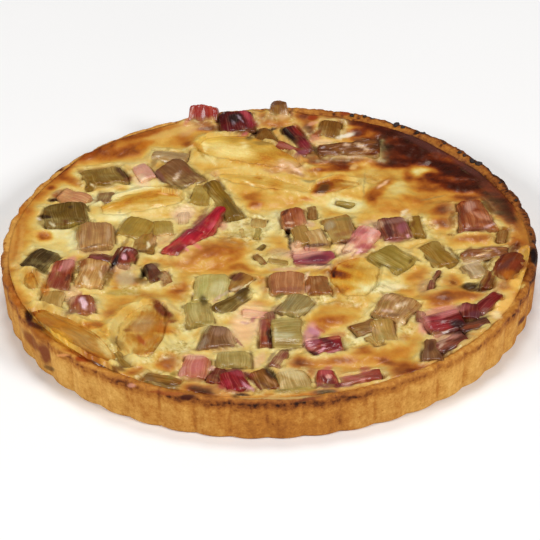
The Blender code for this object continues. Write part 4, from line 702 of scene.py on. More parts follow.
def browning(x, y):
    """How far the custard is browned at places as seen: at its edge, and where BROWNED says, with one painted
    shadow among its spots.
    """
    points = at_height(x, y)
    total = 0.10 + 0.12 * smooth_step(-0.5, 0.7, lumps(points, 13.0, 51.0)) + 0.05 * lumps(points, 4.5, 52.0)
    total += 0.14 * smooth_step(127, 134, np.hypot(x, y - 3) + 1.5 * lumps(points, 9.0, 53.0))
    patchy = 1 + 0.2 * lumps(points, 5.0, 54.0) + 0.15 * lumps(points, 1.8, 56.0)
    darker, lighter = np.zeros((2, len(x)))
    for spot in BROWNED:
        reach = np.hypot(*in_oval(x, y, spot))
        near = reach < 1.35
        amount = abs(spot[5]) * (1 - smooth_step(0.3, 1.35, reach[near]))
        if spot[5] > 0:
            darker[near] += amount ** 2
        else:
            lighter[near] += amount
    return total + 0.88 * patchy * np.sqrt(darker) - lighter


def curdling(x, y):
    """How far the custard is curdled at places as seen."""
    points = at_height(x, y)
    total = np.zeros(len(x))
    for spot in CURDLED:
        reach = np.hypot(*in_oval(x, y, spot))
        total = np.maximum(total, spot[5] * (1 - smooth_step(0.5, 1.3, reach)))
    return total * smooth_step(-0.55, 0.35, lumps(points, 5.0, 55.0))


CUSTARD_STOPS = [
    (0.0, "#E6DCA2"), (0.14, "#DEC77A"), (0.30, "#D3A74B"), (0.44, "#C3842F"),
    (0.58, "#A65C1A"), (0.72, "#702A08"), (0.86, "#421204"), (1.0, "#300E04"),
]


def baked_colour(level):
    """The colour of custard that is browned so far."""
    places = [stop[0] for stop in CUSTARD_STOPS]
    colours = np.array([rgb(stop[1]) for stop in CUSTARD_STOPS])
    return np.stack([np.interp(level, places, colours[:, i]) for i in range(3)], 1)


def marks(x, y, colour, strength, solid=False):
    """Lay the marks over a colour that covers as far as its strength says, or that is solid."""
    for spot in MARKS:
        along, across = in_oval(x, y, spot)
        cover = spot[6] * (1 - smooth_step(0.55, 1.25, np.hypot(along, across)))
        near = cover > 0
        if near.any():
            share = cover[near]
            under = (1.0 if solid else strength[near]) * (1 - share)
            both = colour[near] * under[:, None] + rgb(spot[5]) * share[:, None]
            colour[near] = both / (under + share)[:, None]
            strength[near] = 1 - (1 - strength[near]) * (1 - share)
    return colour, strength


def positions(mesh):
    flat = np.empty(len(mesh.vertices) * 3)
    mesh.vertices.foreach_get("co", flat)
    return flat.reshape(-1, 3)


def put(mesh, points):
    mesh.vertices.foreach_set("co", points.ravel())
    mesh.update()


def normals(mesh):
    flat = np.empty(len(mesh.vertices) * 3, np.float32)
    mesh.vertex_normals.foreach_get("vector", flat)
    return flat.reshape(-1, 3).astype(float)


def paint(mesh, name, kind, values):
    """Keep a value for each point of a mesh, for its material to read."""
    layer = mesh.attributes.new(name, kind, "POINT")
    if kind == "FLOAT_COLOR":
        values = np.concatenate([values, np.ones((len(values), 1))], 1)
    key = {"FLOAT": "value", "FLOAT_VECTOR": "vector", "FLOAT_COLOR": "color"}[kind]
    layer.data.foreach_set(key, np.ascontiguousarray(values, np.float32).ravel())


def finished(name, mesh, look, slot, *nodes):
    """Put a piece in millimetres into the scene in metres, with its finish, on the tart's one body."""
    put(mesh, positions(mesh) * MM)
    mesh.shade_smooth()
    mesh.materials.clear()
    mesh.materials.append(look)
    made = bpy.data.objects.new(name, mesh)
    bpy.context.scene.collection.objects.link(made)
    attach(made, "root")
    if nodes:
        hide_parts(*nodes)
    return made


def mesh_from(bm, name):
    bmesh.ops.recalc_face_normals(bm, faces=bm.faces)
    mesh = bpy.data.meshes.new(name)
    bm.to_mesh(mesh)
    bm.free()
    return mesh


# Fruit

def blended(a, b, power):
    """The reach of two measures together: the higher the power, the squarer."""
    return (np.abs(a) ** power + np.abs(b) ** power) ** (1 / power)


def tapered(piece, along):
    """A piece's share of its width, from -1 to 1 along it."""
    return (1 + piece.taper) / 2 + along * (piece.taper - 1) / 2


def true_y(piece):
    """Where the middle of a piece lies, behind where it is seen by half its rise."""
    return piece.y - VIEW_SLANT * piece.rise / 2


def block(cuts):
    """A cube from -1 to 1 with its faces cut into a grid: each piece of fruit is shaped from a copy."""
    bm = bmesh.new()
    bmesh.ops.create_cube(bm, size=2)
    bmesh.ops.subdivide_edges(bm, edges=bm.edges, cuts=cuts, use_grid_fill=True)
    return mesh_from(bm, "block")


def closer_to_ends(t):
    """Crowd the cuts of a block towards its ends."""
    return np.sin(t * 1.35) / math.sin(1.35)


def closer_to_top(t):
    """Crowd the cuts of a block towards its top, which shows."""
    return 1 - 2 * ((1 - t) / 2) ** 1.45


def thickness(piece):
    return piece.rise + piece.sink


def stalk_shape(piece, u, v, w):
    """A cut length of stalk: squarish across, with rounded cut ends."""
    reach = blended(blended(v, w, STALK_SQUARENESS), u, END_SQUARENESS)
    x = u / reach
    share = tapered(piece, x)
    return np.stack([
        x * piece.length / 2,
        v / reach * piece.width / 2 * share,
        w / reach * thickness(piece) / 2], 1)


def slice_shape(piece, u, v, w):
    """An apple slice: a half moon with blunt ends, wider at one end if it tapers."""
    reach = blended(blended(v, w, SLICE_SQUARENESS), u, END_SQUARENESS)
    x = u / reach
    share = np.sqrt(np.maximum(0, 1 - (SLICE_POINT * x) ** 2)) * tapered(piece, x)
    bow = SLICE_BOW * piece.width * (1 - x ** 2)
    return np.stack([
        x * piece.length / 2,
        v / reach * piece.width / 2 * share + bow,
        w / reach * thickness(piece) / 2 * (0.55 + 0.45 * share)], 1)


def attitude(piece):
    """How a piece lies: rolled about its length, pitched, then turned on the tart."""
    turn = Matrix.Rotation(math.radians(piece.turn), 3, "Z")
    pitch = Matrix.Rotation(-math.radians(piece.pitch), 3, "Y")
    roll = Matrix.Rotation(math.radians(piece.roll), 3, "X")
    return np.array(turn @ pitch @ roll)


def relief(piece, shape, fibre, ends, seed):
    """How far the skin stands out: ribs along the fibres, shrivelled folds and a rough cut end."""
    along, over = fibre[:, 0], fibre[:, 1]
    flat = at_height(along, over)
    wander = 0.6 * lumps(flat, (16, 7, 1), seed)
    strength = 0.75 + 0.45 * lumps(flat, (9, 4, 1), seed + 3)
    rib = np.abs(np.cos(math.pi * over / RIB_SPACING + wander)) ** 0.7 - 0.6
    fold = 1 - 2 * np.abs(lumps(flat, (6.5, 2.6, 1), seed + 5))
    fold += 0.5 * lumps(flat, (3.2, 1.8, 1), seed + 7)
    out = piece.ribs * RIB_HEIGHT * rib * strength + piece.wrinkle * WRINKLE_HEIGHT * (fold - 0.5)
    rough = 0.35 * lumps(shape, 1.5, seed + 9)
    soft = 0.3 * lumps(shape, 6.5, seed + 11)
    return out * (1 - ends) + rough * ends + soft


def make_fruit(piece, name, blank, look, slot, seed, replaced):
    """One piece of fruit, from a copy of a block, with its tone, painted shade and highlights, browning and
    film of custard.
    """
    mesh = blank.copy()
    mesh.name = name
    u, v, w = positions(mesh).T
    u, v, w = closer_to_ends(u), closer_to_ends(v), closer_to_top(w)
    stalk = piece.form == "stalk"
    shape = (stalk_shape if stalk else slice_shape)(piece, u, v, w)
    put(mesh, shape)
    side = np.where(np.abs(v) > 0.999, np.sign(v) * thickness(piece) / 2 * (1 - w), 0)
    fibre = np.stack([shape[:, 0], v * piece.width / 2 + side, np.full(len(u), 10.0 * seed)], 1)
    ends = smooth_step(0.985, 1.0, np.abs(u))
    shape = shape + normals(mesh) * relief(piece, shape, fibre, ends, seed)[:, None]
    bend = np.stack([
        lumps(shape, 10.0, seed + 31), lumps(shape, 10.0, seed + 32), 0.5 * lumps(shape, 9.0, seed + 33)], 1)
    shape = shape + (STALK_BEND if stalk else SLICE_BEND) * bend
    # The block's edges, which brown first: there two of the three measures are near 1
    second = np.sort(np.abs(np.stack([u, v, w], 1)), 1)[:, 1]
    edge = smooth_step(0.78, 1.0, second) * smooth_step(-0.4, 0.2, w)
    lie = attitude(piece)
    points = shape @ lie.T
    points += (piece.x, true_y(piece), CUSTARD_LEVEL + piece.rise - points[:, 2].max())
    put(mesh, points)
    x, y = seen(points)
    # Its own tone, with cream custard on it up to a ragged line, painted shade on a stalk's lower sides, and
    # the marks, painted highlights among them, over all
    own, streak = (rgb(colour) for colour in COLOURS[piece.colour])
    patch = smooth_step(-0.35, 0.5, lumps(points, 5.0, seed + 21))[:, None]
    tone = own * (0.86 + 0.2 * patch)
    level = calm_height(points[:, 0], points[:, 1]) + cling_height(piece)
    level = np.minimum(level, CUSTARD_LEVEL + 0.45 * piece.rise)
    above = points[:, 2] - level + 0.9 * lumps(points, 3.0, 25.0) + 0.4 * lumps(points, 1.2, 26.0)
    oven = browning(x, y)
    if stalk:
        clings = clinging(points[:, 0], points[:, 1])
        film = 0.8 * (1 - smooth_step(-0.3, 1.9, above)) * (LEAST_CLING + (1 - LEAST_CLING) * clings)
        # Painted shade: a stalk darker on its sides, more so towards its underside
        skin = 1 - 0.3 * smooth_step(0.5, 0.95, np.abs(v)) * smooth_step(-1.0, 0.6, -w)
        tone = tone * skin[:, None]
        coat = rgb("#DCC880") * 0.55 + own * 0.45
    else:
        film = 0.95 * (1 - smooth_step(-0.4, 1.6, above))
        coat = baked_colour(oven + 0.08)
    film = film[:, None]
    tone = tone * (1 - film) + coat * film
    tone, marked = marks(x, y, tone, film[:, 0].copy(), solid=True)
    brown = piece.char * edge * (0.6 + 0.6 * lumps(points, 3.0, seed + 23))
    oven = 0.25 * oven if stalk else oven
    paint(mesh, "tone", "FLOAT_COLOR", tone)
    paint(mesh, "streak", "FLOAT_COLOR", np.tile(streak, (len(points), 1)))
    paint(mesh, "marked", "FLOAT", marked)
    paint(mesh, "brown", "FLOAT", np.clip(brown + oven, 0, 1) * (1 - 0.9 * marked))
    paint(mesh, "fibre", "FLOAT_VECTOR", fibre * MM)
    return finished(name, mesh, look, slot, *([piece.node] if replaced else []))


# Custard

def off_piece(piece, x, y):
    """How far places lie outside a piece's outline on the level of the custard."""
    turn = math.radians(piece.turn)
    dx, dy = x - piece.x, y - true_y(piece)
    along = dx * math.cos(turn) + dy * math.sin(turn)
    across = dy * math.cos(turn) - dx * math.sin(turn)
    share = np.clip(along * 2 / piece.length, -1, 1)
    half = piece.width / 2 * tapered(piece, share)
    if piece.form == "slice":
        half = half * np.sqrt(1 - (SLICE_POINT * share) ** 2)
        across = across - SLICE_BOW * piece.width * (1 - share ** 2)
    out_x = np.abs(along) - piece.length / 2 * math.cos(math.radians(piece.pitch))
    out_y = np.abs(across) - half
    return np.hypot(np.maximum(out_x, 0), np.maximum(out_y, 0)) + np.minimum(np.maximum(out_x, out_y), 0)


def degrees_from(angles, middle):
    """How many degrees angles are round from a heading, from -180 to 180."""
    return (np.degrees(angles) - middle + 180) % 360 - 180


def rim_ruffle(angles):
    """The uneven height of the broken and browned rim."""
    back = BACK_LIFT * np.exp(-(degrees_from(angles, BACK_LIFT_MIDDLE) / BACK_LIFT_SPREAD) ** 2)
    around, where = np.unique(np.round(angles, 4), return_inverse=True)
    ruffle = []
    for angle in around:
        place = Vector((math.cos(angle), math.sin(angle), 3.0))
        ruffle.append(RIM_RUFFLE * sum(much * noise.noise(place * fine) for much, fine in RUFFLES))
    return back + np.array(ruffle)[where.ravel()]


def crumbly_share(angles):
    """Where the rim is bare and crumbly, at the back right, instead of coated with custard."""
    return np.exp(-(degrees_from(angles, BARE_RIM_MIDDLE) / BARE_RIM_SPREAD) ** 4)


def film_edge(angles):
    """How far out the custard's thin edge runs on the rim."""
    return FILM_EDGE - BARE_RIM_WIDTH * crumbly_share(angles)


def cling_height(piece):
    """How far the custard climbs up a piece."""
    if piece.form == "slice":
        return SLICE_CLING * piece.rise
    return min(STALK_CLING_MOST, STALK_CLING * piece.rise)


def clinging(x, y):
    """Where the custard clings to the fruit, from 0 to 1, instead of ending in a rounded lip before it."""
    return smooth_step(-0.25, 0.35, lumps(at_height(x, y, 5.0), 8.0, 34.0))


def calm_height(x, y):
    """The custard's top without its waves: it climbs to the rim, and swells where it browned."""
    angle = np.arctan2(y, x)
    reach = np.hypot(x, y)
    edge = film_edge(angle)
    up = np.clip((reach - FILM_START) / (edge - FILM_START), 0, 1) ** 1.4
    bare = crumbly_share(angle)
    top = WALL_HEIGHT - 1.6 * bare + rim_ruffle(angle) * (1 - 0.25 * bare) + 0.1
    z = CUSTARD_LEVEL + (top - CUSTARD_LEVEL) * up
    for spot in SWELLINGS:
        along, across = in_oval(x, y, (*spot[:4], spot[5]))
        z += 1.3 * spot[4] * np.maximum(0, 1 - along ** 2 - across ** 2) ** 0.75
    seen_y = y + TOP_SHIFT
    burnt = in_oval(x, seen_y, BURNT_AREA)
    mounds = browning(x, seen_y) * smooth_step(0.7, 1.2, np.hypot(*burnt))
    return z + MOUND_HEIGHT * (1 - np.exp(-2 * np.maximum(0, mounds))) * (1 - up)


def custard_height(x, y):
    """The custard's top: it also creeps up the sides of the fruit, and is lumpy."""
    points = at_height(x, y, 5.0)
    z = calm_height(x, y)
    clings = clinging(x, y)
    cling, lip, groove, under = np.zeros((4, len(x)))
    for piece in PIECES + BITS:
        off = off_piece(piece, x, y)
        outside = np.maximum(off, 0)
        if piece.form == "slice":
            cling = np.maximum(cling, cling_height(piece) * np.exp(-(outside / SLICE_CLING_REACH) ** 1.6))
        else:
            height = cling_height(piece) * (LEAST_CLING + (1 - LEAST_CLING) * clings)
            cling = np.maximum(cling, height * np.exp(-(outside / CLING_REACH) ** 1.3))
            lip = np.maximum(lip, np.exp(-((off - LIP_MIDDLE) / LIP_WIDTH) ** 2))
            groove = np.maximum(groove, np.exp(-(outside / GROOVE_WIDTH) ** 2))
        under = np.maximum(under, smooth_step(0.4, 2.4, -off))
    # It climbs where it clings, and elsewhere ends in a lip with a groove before the fruit
    rough = lumps(points, 3.4, 30.0)
    z += cling * (1 + 0.25 * rough) + (1 - clings) * (lip * (0.7 + 0.8 * rough) - 0.8 * groove)
    seen_y = y + TOP_SHIFT
    for spot in CREVICES:
        along, across = in_oval(x, seen_y, spot)
        z -= CREVICE_DEPTH * (1 - smooth_step(0.3, 1.2, np.hypot(along, across)))
    # Broad and fine waves, calmer near the rim
    inner = 1 - smooth_step(124, 132, np.hypot(x, y))
    z += (0.25 + 0.75 * inner) * (0.75 * lumps(points, 12.0, 31.0) + 0.45 * lumps(points, 4.6, 32.0))
    return z + (0.06 + 0.14 * lip) * lumps(points, 1.6, 33.0) - HOLLOW_UNDER_FRUIT * under


def disc_place(u, v, radius):
    """Places in a square from -1 to 1, spread over a disc so that its edge is evenly divided."""
    wide = np.abs(u) >= np.abs(v)
    reach = np.maximum(np.abs(u), np.abs(v))
    safe = np.where(reach == 0, 1, reach)
    quarter = math.pi / 4
    short = np.where(wide, v, u)
    long = np.where(wide, u, v)
    low = short / np.where(long == 0, safe, long)
    angle = np.where(wide, quarter * low + math.pi * (u < 0), 2 * quarter - quarter * low + math.pi * (v < 0))
    return reach * radius * np.cos(angle), reach * radius * np.sin(angle)


def sort_faces(bm):
    """Order the faces by their points, because extruding makes them in an order that differs each run."""
    bm.verts.index_update()
    count = len(bm.verts)

    def order(face):
        numbers = [vert.index for vert in face.verts]
        return max(numbers) * count + min(numbers)

    bm.faces.sort(key=order)
    bm.faces.index_update()


def make_custard(look):
    """The filling: a disc with its relief on top, closed below by a flat underside."""
    bm = bmesh.new()
    bmesh.ops.create_grid(bm, x_segments=CUSTARD_CELLS, y_segments=CUSTARD_CELLS, size=1.0)
    edges = [e for e in bm.edges if e.is_boundary]
    grown = bmesh.ops.extrude_edge_only(bm, edges=edges)["geom"]
    for vert in grown:
        if isinstance(vert, bmesh.types.BMVert):
            vert.co.z = -1
    bmesh.ops.edgeloop_fill(bm, edges=[e for e in bm.edges if e.is_boundary])
    sort_faces(bm)
    mesh = mesh_from(bm, "custard_top")
    u, v, low = positions(mesh).T
    x, y = disc_place(u, v, 1.0)
    edge = film_edge(np.arctan2(y, x))
    under = low < -0.5
    edge[under] = FLOOR_RADIUS - GAP * 1.5
    x, y = x * edge, y * edge
    z = custard_height(x, y)
    z[under] = FLOOR_THICKNESS + GAP
    points = np.stack([x, y, z], 1)
    put(mesh, points)
    seen_x, seen_y = seen(points)
    juice_and_painted_light = np.tile(rgb("#E6D48C"), (len(points), 1))
    strength = np.zeros(len(points))
    # Juice stain and a brown ring of painted shade beside each stalk where the custard does not climb it, the
    # strongest of them where they meet
    nearest, nearest_stalk = np.full((2, len(points)), FAR)
    uneven = 0.75 + 0.5 * lumps(points, 2.6, 61.0)
    cream, shade_ring_brown = rgb("#E6D890"), rgb("#7A4A1C")
    clings = clinging(x, y)
    for piece in PIECES + BITS:
        off = np.maximum(off_piece(piece, x, y), 0)
        nearest = np.minimum(nearest, off)
        if piece.form == "slice":
            continue
        nearest_stalk = np.minimum(nearest_stalk, off)
        tone = rgb(COLOURS[piece.colour][0])
        red = tone[0] > 3.2 * tone[1] or tone[2] > 0.55 * tone[1] and tone[0] > 1.9 * tone[1]
        reach, share = RED_STAIN if red else OTHER_STAIN
        bleed = np.clip(0.8 * np.exp(-off / reach) * uneven, 0, 0.85)
        shade_ring = np.exp(-(off / SHADE_RING_WIDTH) ** 2) * smooth_step(0.25, 0.75, 1 - clings)
        stain = tone * share + cream * (1 - share)
        stain = stain * (1 - shade_ring[:, None]) + shade_ring_brown * shade_ring[:, None]
        bleed = np.maximum(bleed, 0.75 * shade_ring)
        more = bleed > strength
        juice_and_painted_light[more] = stain[more]
        strength[more] = bleed[more]
    # A little browner away from the fruit
    open_middle = 0.16 * smooth_step(1.5, 8.0, nearest + 1.6 * lumps(points, 6.0, 62.0)) - 0.04
    juice_and_painted_light, strength = marks(seen_x, seen_y, juice_and_painted_light, strength)
    paint(mesh, "juice_and_painted_light", "FLOAT_COLOR", juice_and_painted_light)
    paint(mesh, "marked", "FLOAT", strength)
    paint(mesh, "brown", "FLOAT", np.clip(browning(seen_x, seen_y) + open_middle, -0.2, 1))
    beside = 0.7 * np.exp(-((nearest_stalk - CURD_MIDDLE) / CURD_WIDTH) ** 2)
    beside = beside * smooth_step(-0.1, 0.5, lumps(points, 7.0, 63.0))
    paint(mesh, "curd", "FLOAT", np.maximum(curdling(seen_x, seen_y), beside) * (1 - 0.7 * strength))
    return finished("custard_top", mesh, look, "custard", "custard")


# Pastry shell

# The wall's outline from the middle of the underside over the rim to the floor inside: radius,
# height, how far it follows the flutes and the ruffled rim, and how many steps lead to it
OUTLINE = [
    (0.0, 0.0, 0.0, 0.0, 0),
    (60.0, 0.0, 0.0, 0.0, 1),
    (FOOT_RADIUS - 1.0, 0.0, 1.0, 0.0, 2),
    (FOOT_RADIUS - 0.1, 0.7, 1.0, 0.0, 2),
    (RIM_RADIUS - 0.15, WALL_HEIGHT - 2.4, 1.0, 0.5, 28),
    (RIM_RADIUS - 0.5, WALL_HEIGHT - 0.8, 0.85, 0.8, 3),
    (RIM_RADIUS - 1.8, WALL_HEIGHT, 0.6, 1.0, 3),
    (INNER_RADIUS + 4.6, WALL_HEIGHT - 0.1, 0.2, 1.0, 5),
    (INNER_RADIUS + 2.4, WALL_HEIGHT - 0.6, 0.0, 1.0, 3),
    (INNER_RADIUS + 0.2, CUSTARD_LEVEL + 0.4, 0.0, 0.6, 4),
    (INNER_RADIUS, CUSTARD_LEVEL - 1.0, 0.0, 0.0, 2),
    (FLOOR_RADIUS, FLOOR_THICKNESS, 0.0, 0.0, 2),
    (60.0, FLOOR_THICKNESS, 0.0, 0.0, 1),
    (0.0, FLOOR_THICKNESS, 0.0, 0.0, 1),
]


def outline_points():
    """The outline in small steps."""
    fine = [OUTLINE[0][:4]]
    for start, stop in zip(OUTLINE, OUTLINE[1:]):
        for i in range(stop[4]):
            t = (i + 1) / stop[4]
            fine.append(tuple(a + (b - a) * t for a, b in zip(start[:4], stop[:4])))
    return fine


def toasting_and_shading(points, x, radius, angle, phase, top, crumbly):
    """How far the oven browned the crust, with painted shade on the front of the wall and in the valleys
    between the flutes.

    x is as seen, and radius that of the outline without flutes. Top is 1 on the rim, and crumbly is 1
    where the rim is bare.
    """
    height = points[:, 2]
    side = np.degrees(angle)
    # Painted shade, darker on the front of the wall; also darker at both ends of what shows of the wall
    ends = (0.26 + 0.08 * np.sign(x)) * np.exp(-((np.abs(side + 90) - 88) / 24) ** 2)
    toast_and_shade = 0.10 + 0.24 * np.exp(-((side + 90) / 30) ** 2) + ends
    # A band of speckles below the rim
    speckles = smooth_step(-0.2, 0.6, lumps(points, (2.2, 2.2, 1.6), 49.0)) * (1 - top)
    crown = smooth_step(WALL_HEIGHT - 8.0, WALL_HEIGHT - 1.2, height) * (1 - 0.5 * top)
    toast_and_shade += crown * (0.25 + 0.20 * speckles)
    # Streaks up the wall, and broad and fine patches
    toast_and_shade += 0.07 * lumps(points, (2.4, 2.4, 16.0), 50.0)
    toast_and_shade += 0.08 * smooth_step(-0.2, 0.6, lumps(points, (12, 12, 12), 45.0))
    toast_and_shade += 0.30 * smooth_step(0.3, 0.8, lumps(points, 2.8, 46.0)) * top * crumbly
    # Burnt flecks on the outer rim at the back, and the bare rim as a whole
    flecks = smooth_step(0.2, 0.6, lumps(points, 2.4, 48.0)) * smooth_step(135.5, 138.0, radius)
    toast_and_shade += 0.35 * flecks * top * smooth_step(-40.0, 20.0, points[:, 1])
    toast_and_shade += (0.20 + 0.22 * smooth_step(135.5, 138.5, radius)) * top * crumbly
    # Valleys between the flutes: darker, browning with painted shade
    valley = np.exp(-(np.abs(np.cos(phase)) / 0.16) ** 2) * smooth_step(1.0, 5.0, height)
    toast_and_shade += 0.15 * valley * (0.6 + 0.8 * lumps(points, 7.0, 47.0))
    return np.clip(toast_and_shade, 0, 1)


def make_crust(look):
    """The shell, fluted outside and ruffled along its rim, with its browning."""
    fine = np.array(outline_points())
    rows = len(fine) - 1
    bm = bmesh.new()
    bmesh.ops.create_grid(bm, x_segments=CRUST_STEPS, y_segments=rows, size=1.0)
    follow = bm.verts.layers.float.new("follow")
    lift = bm.verts.layers.float.new("lift")
    for vert in bm.verts:
        radius, height, vert[follow], vert[lift] = fine[round((vert.co.y + 1) / 2 * rows)]
        angle = vert.co.x * math.pi
        vert.co = (radius * math.cos(angle), radius * math.sin(angle), height)
    bmesh.ops.remove_doubles(bm, verts=bm.verts, dist=1e-3)
    flutes = np.array([v[follow] for v in bm.verts])
    lifts = np.array([v[lift] for v in bm.verts])
    mesh = mesh_from(bm, "crust_shell")
    points = positions(mesh)
    angle = np.arctan2(points[:, 1], points[:, 0])
    phase = FLUTES * (angle - math.radians(FIRST_FLUTE)) / 2
    radius = np.hypot(points[:, 0], points[:, 1])
    bent = radius - flutes * FLUTE_DEPTH * (1 - np.abs(np.cos(phase)))
    height = points[:, 2] + lifts * rim_ruffle(angle)
    points = np.stack([bent * np.cos(angle), bent * np.sin(angle), height], 1)
    put(mesh, points)
    top = smooth_step(0.55, 1.0, lifts)
    crumbly = crumbly_share(angle)
    bare = 0.35 + 0.65 * crumbly
    shown = smooth_step(0.5, 3.0, points[:, 2])
    # Crumbly all over, and chipped where the rim is bare
    rough = 0.12 * lumps(points, 1.6, 41.0) + 0.16 * lumps(points, 3.6, 42.0)
    chips = lumps(points, 3.2, 43.0) + 0.6 * lumps(points, 1.5, 44.0)
    rough += top * bare * 0.8 * chips
    points = points + normals(mesh) * (np.minimum(rough, 0.25) * shown)[:, None]
    put(mesh, points)
    x, y = seen(points)
    tone, marked = marks(x, y, np.tile(rgb("#CE9C54"), (len(points), 1)), np.zeros(len(points)))
    # No marks on the wall that faces away from where they are seen
    below_rim = 1 - smooth_step(WALL_HEIGHT - 2.6, WALL_HEIGHT - 1.0, points[:, 2])
    marked *= 1 - below_rim * smooth_step(-0.14, -0.02, np.sin(angle))
    paint(mesh, "tone", "FLOAT_COLOR", tone)
    paint(mesh, "marked", "FLOAT", marked)
    paint(mesh, "toast_and_shade", "FLOAT", toasting_and_shading(points, x, radius, angle, phase, top, crumbly))
    paint(mesh, "coated", "FLOAT", top * (1 - crumbly))
    return finished("crust_shell", mesh, look, "pastry", "crust")


def make_crumbs(look):
    """Black crumbs along the rim, all in one piece."""
    draw = random.Random(5)
    bm = bmesh.new()
    for degrees, size in BLACK_CRUMBS:
        angle = math.radians(degrees)
        made = bmesh.ops.create_icosphere(bm, subdivisions=3, radius=size * 0.42)["verts"]
        squash = Vector((1.0, draw.uniform(0.7, 1.3), draw.uniform(0.4, 0.6)))
        turn = Matrix.Rotation(draw.uniform(0, math.pi), 3, "Z")
        reach = RIM_RADIUS - 2.6 - draw.uniform(0, 1.5)
        lift = float(rim_ruffle(np.array([angle]))[0])
        place = Vector((reach * math.cos(angle), reach * math.sin(angle), WALL_HEIGHT + lift + 0.1))
        for vert in made:
            bump = 1 + 0.35 * noise.noise(vert.co * 0.9 + place)
            vert.co = turn @ (vert.co * squash * bump) + place
    mesh = mesh_from(bm, "rim_crumbs")
    return finished("rim_crumbs", mesh, look, "pastry")


# Finishes

def add(tree, kind, inputs=(), stops=(), **settings):
    """Add a node with its settings, its inputs set or linked, and a ramp's colours."""
    node = tree.nodes.new(kind)
    for name, value in settings.items():
        setattr(node, name, value)
    for key, value in dict(inputs).items():
        if isinstance(value, bpy.types.NodeSocket):
            tree.links.new(value, node.inputs[key])
        else:
            node.inputs[key].default_value = value
    if stops:
        ramp = node.color_ramp.elements
        while len(ramp) < len(stops):
            ramp.new(1.0)
        for element, (place, colour) in zip(ramp, stops):
            element.position = place
            element.color = linear(colour)
    return node


def new_look(name):
    look = bpy.data.materials.new(name)
    look.use_nodes = True
    look.node_tree.nodes.clear()
    return look, look.node_tree


def attribute(tree, name, output="Fac"):
    """What a mesh keeps for its points under this name."""
    return add(tree, "ShaderNodeAttribute", attribute_name=name).outputs[output]


def object_place(tree):
    return add(tree, "ShaderNodeTexCoord").outputs["Object"]


def grain(tree, place, size, detail, roughness=0.5):
    """Noise whose lumps are so many metres wide."""
    return add(tree, "ShaderNodeTexNoise", {
        "Vector": place, "Scale": 1 / size, "Detail": detail, "Roughness": roughness}).outputs["Fac"]


def work_out(tree, operation, *values):
    return add(tree, "ShaderNodeMath", enumerate(values), operation=operation).outputs[0]


def spread(tree, value, low, high, start=0.0, stop=1.0):
    """Turn a value from start to stop into one from low to high."""
    return add(tree, "ShaderNodeMapRange", {
        "Value": value, "From Min": start, "From Max": stop, "To Min": low, "To Max": high}).outputs[0]


def ramp_colour(tree, value, stops):
    return add(tree, "ShaderNodeValToRGB", {"Fac": value}, stops=stops).outputs["Color"]


def mix(tree, share, under, over, blend="MIX"):
    return add(tree, "ShaderNodeMix", {0: share, 6: under, 7: over},
               data_type="RGBA", blend_type=blend).outputs[2]


def bumps(tree, height, strength, depth):
    return add(tree, "ShaderNodeBump", {
        "Height": height, "Strength": strength, "Distance": depth}).outputs["Normal"]


def surface(tree, colour, roughness, **more):
    """Close a material with a shader: more holds its other inputs, with _ for each space in their names."""
    inputs = {"Base Color": colour, "Roughness": roughness}
    inputs.update((name.replace("_", " "), value) for name, value in more.items())
    shader = add(tree, "ShaderNodeBsdfPrincipled", inputs)
    add(tree, "ShaderNodeOutputMaterial", {"Surface": shader.outputs["BSDF"]})


def baked_shortcrust():
    """Shortcrust pastry, pressed into a fluted tin and baked golden: dull, crumbly, browner at its rim, with
    painted shade on the front of its wall and in its flute valleys.
    """
    look, tree = new_look("baked_shortcrust")
    place = object_place(tree)
    grains = grain(tree, place, 0.0011, 4.0, 0.65)
    streaks = grain(tree, place, 0.0034, 3.0, 0.6)
    flecks = add(tree, "ShaderNodeTexVoronoi", {"Vector": place, "Scale": 1 / 0.0032}).outputs["Distance"]
    fleck = spread(tree, flecks, 0.12, 0.0, 0.04, 0.22)
    grainy = work_out(tree, "MULTIPLY_ADD", grains, 0.34, -0.17)
    streaky = work_out(tree, "MULTIPLY_ADD", streaks, 0.42, grainy)
    level = work_out(tree, "ADD", attribute(tree, "toast_and_shade"), streaky)
    level = work_out(tree, "ADD", level, fleck)
    colour = ramp_colour(tree, level, [
        (0.10, "#EAC074"), (0.34, "#D5A04E"), (0.56, "#B4742C"),
        (0.76, "#8A4C1A"), (0.90, "#562A0E"), (1.0, "#2A1208")])
    painted = mix(tree, attribute(tree, "marked"), colour, attribute(tree, "tone", "Color"))
    dull = spread(tree, attribute(tree, "coated"), 0.78, 0.45)
    height = work_out(tree, "MULTIPLY_ADD", streaks, 0.5, grains)
    surface(tree, painted, dull, Normal=bumps(tree, height, 0.55, 0.0005), Specular_IOR_Level=0.15)
    return look


def burnt_crumb():
    """Crumbs of pastry and custard burnt black: dry and matt."""
    look, tree = new_look("burnt_crumb")
    grains = grain(tree, object_place(tree), 0.0009, 3.0)
    colour = ramp_colour(tree, grains, [(0.3, "#120A06"), (0.6, "#2C150C"), (0.8, "#5A2F16")])
    surface(tree, colour, 0.7, Normal=bumps(tree, grains, 0.8, 0.0004))
    return look


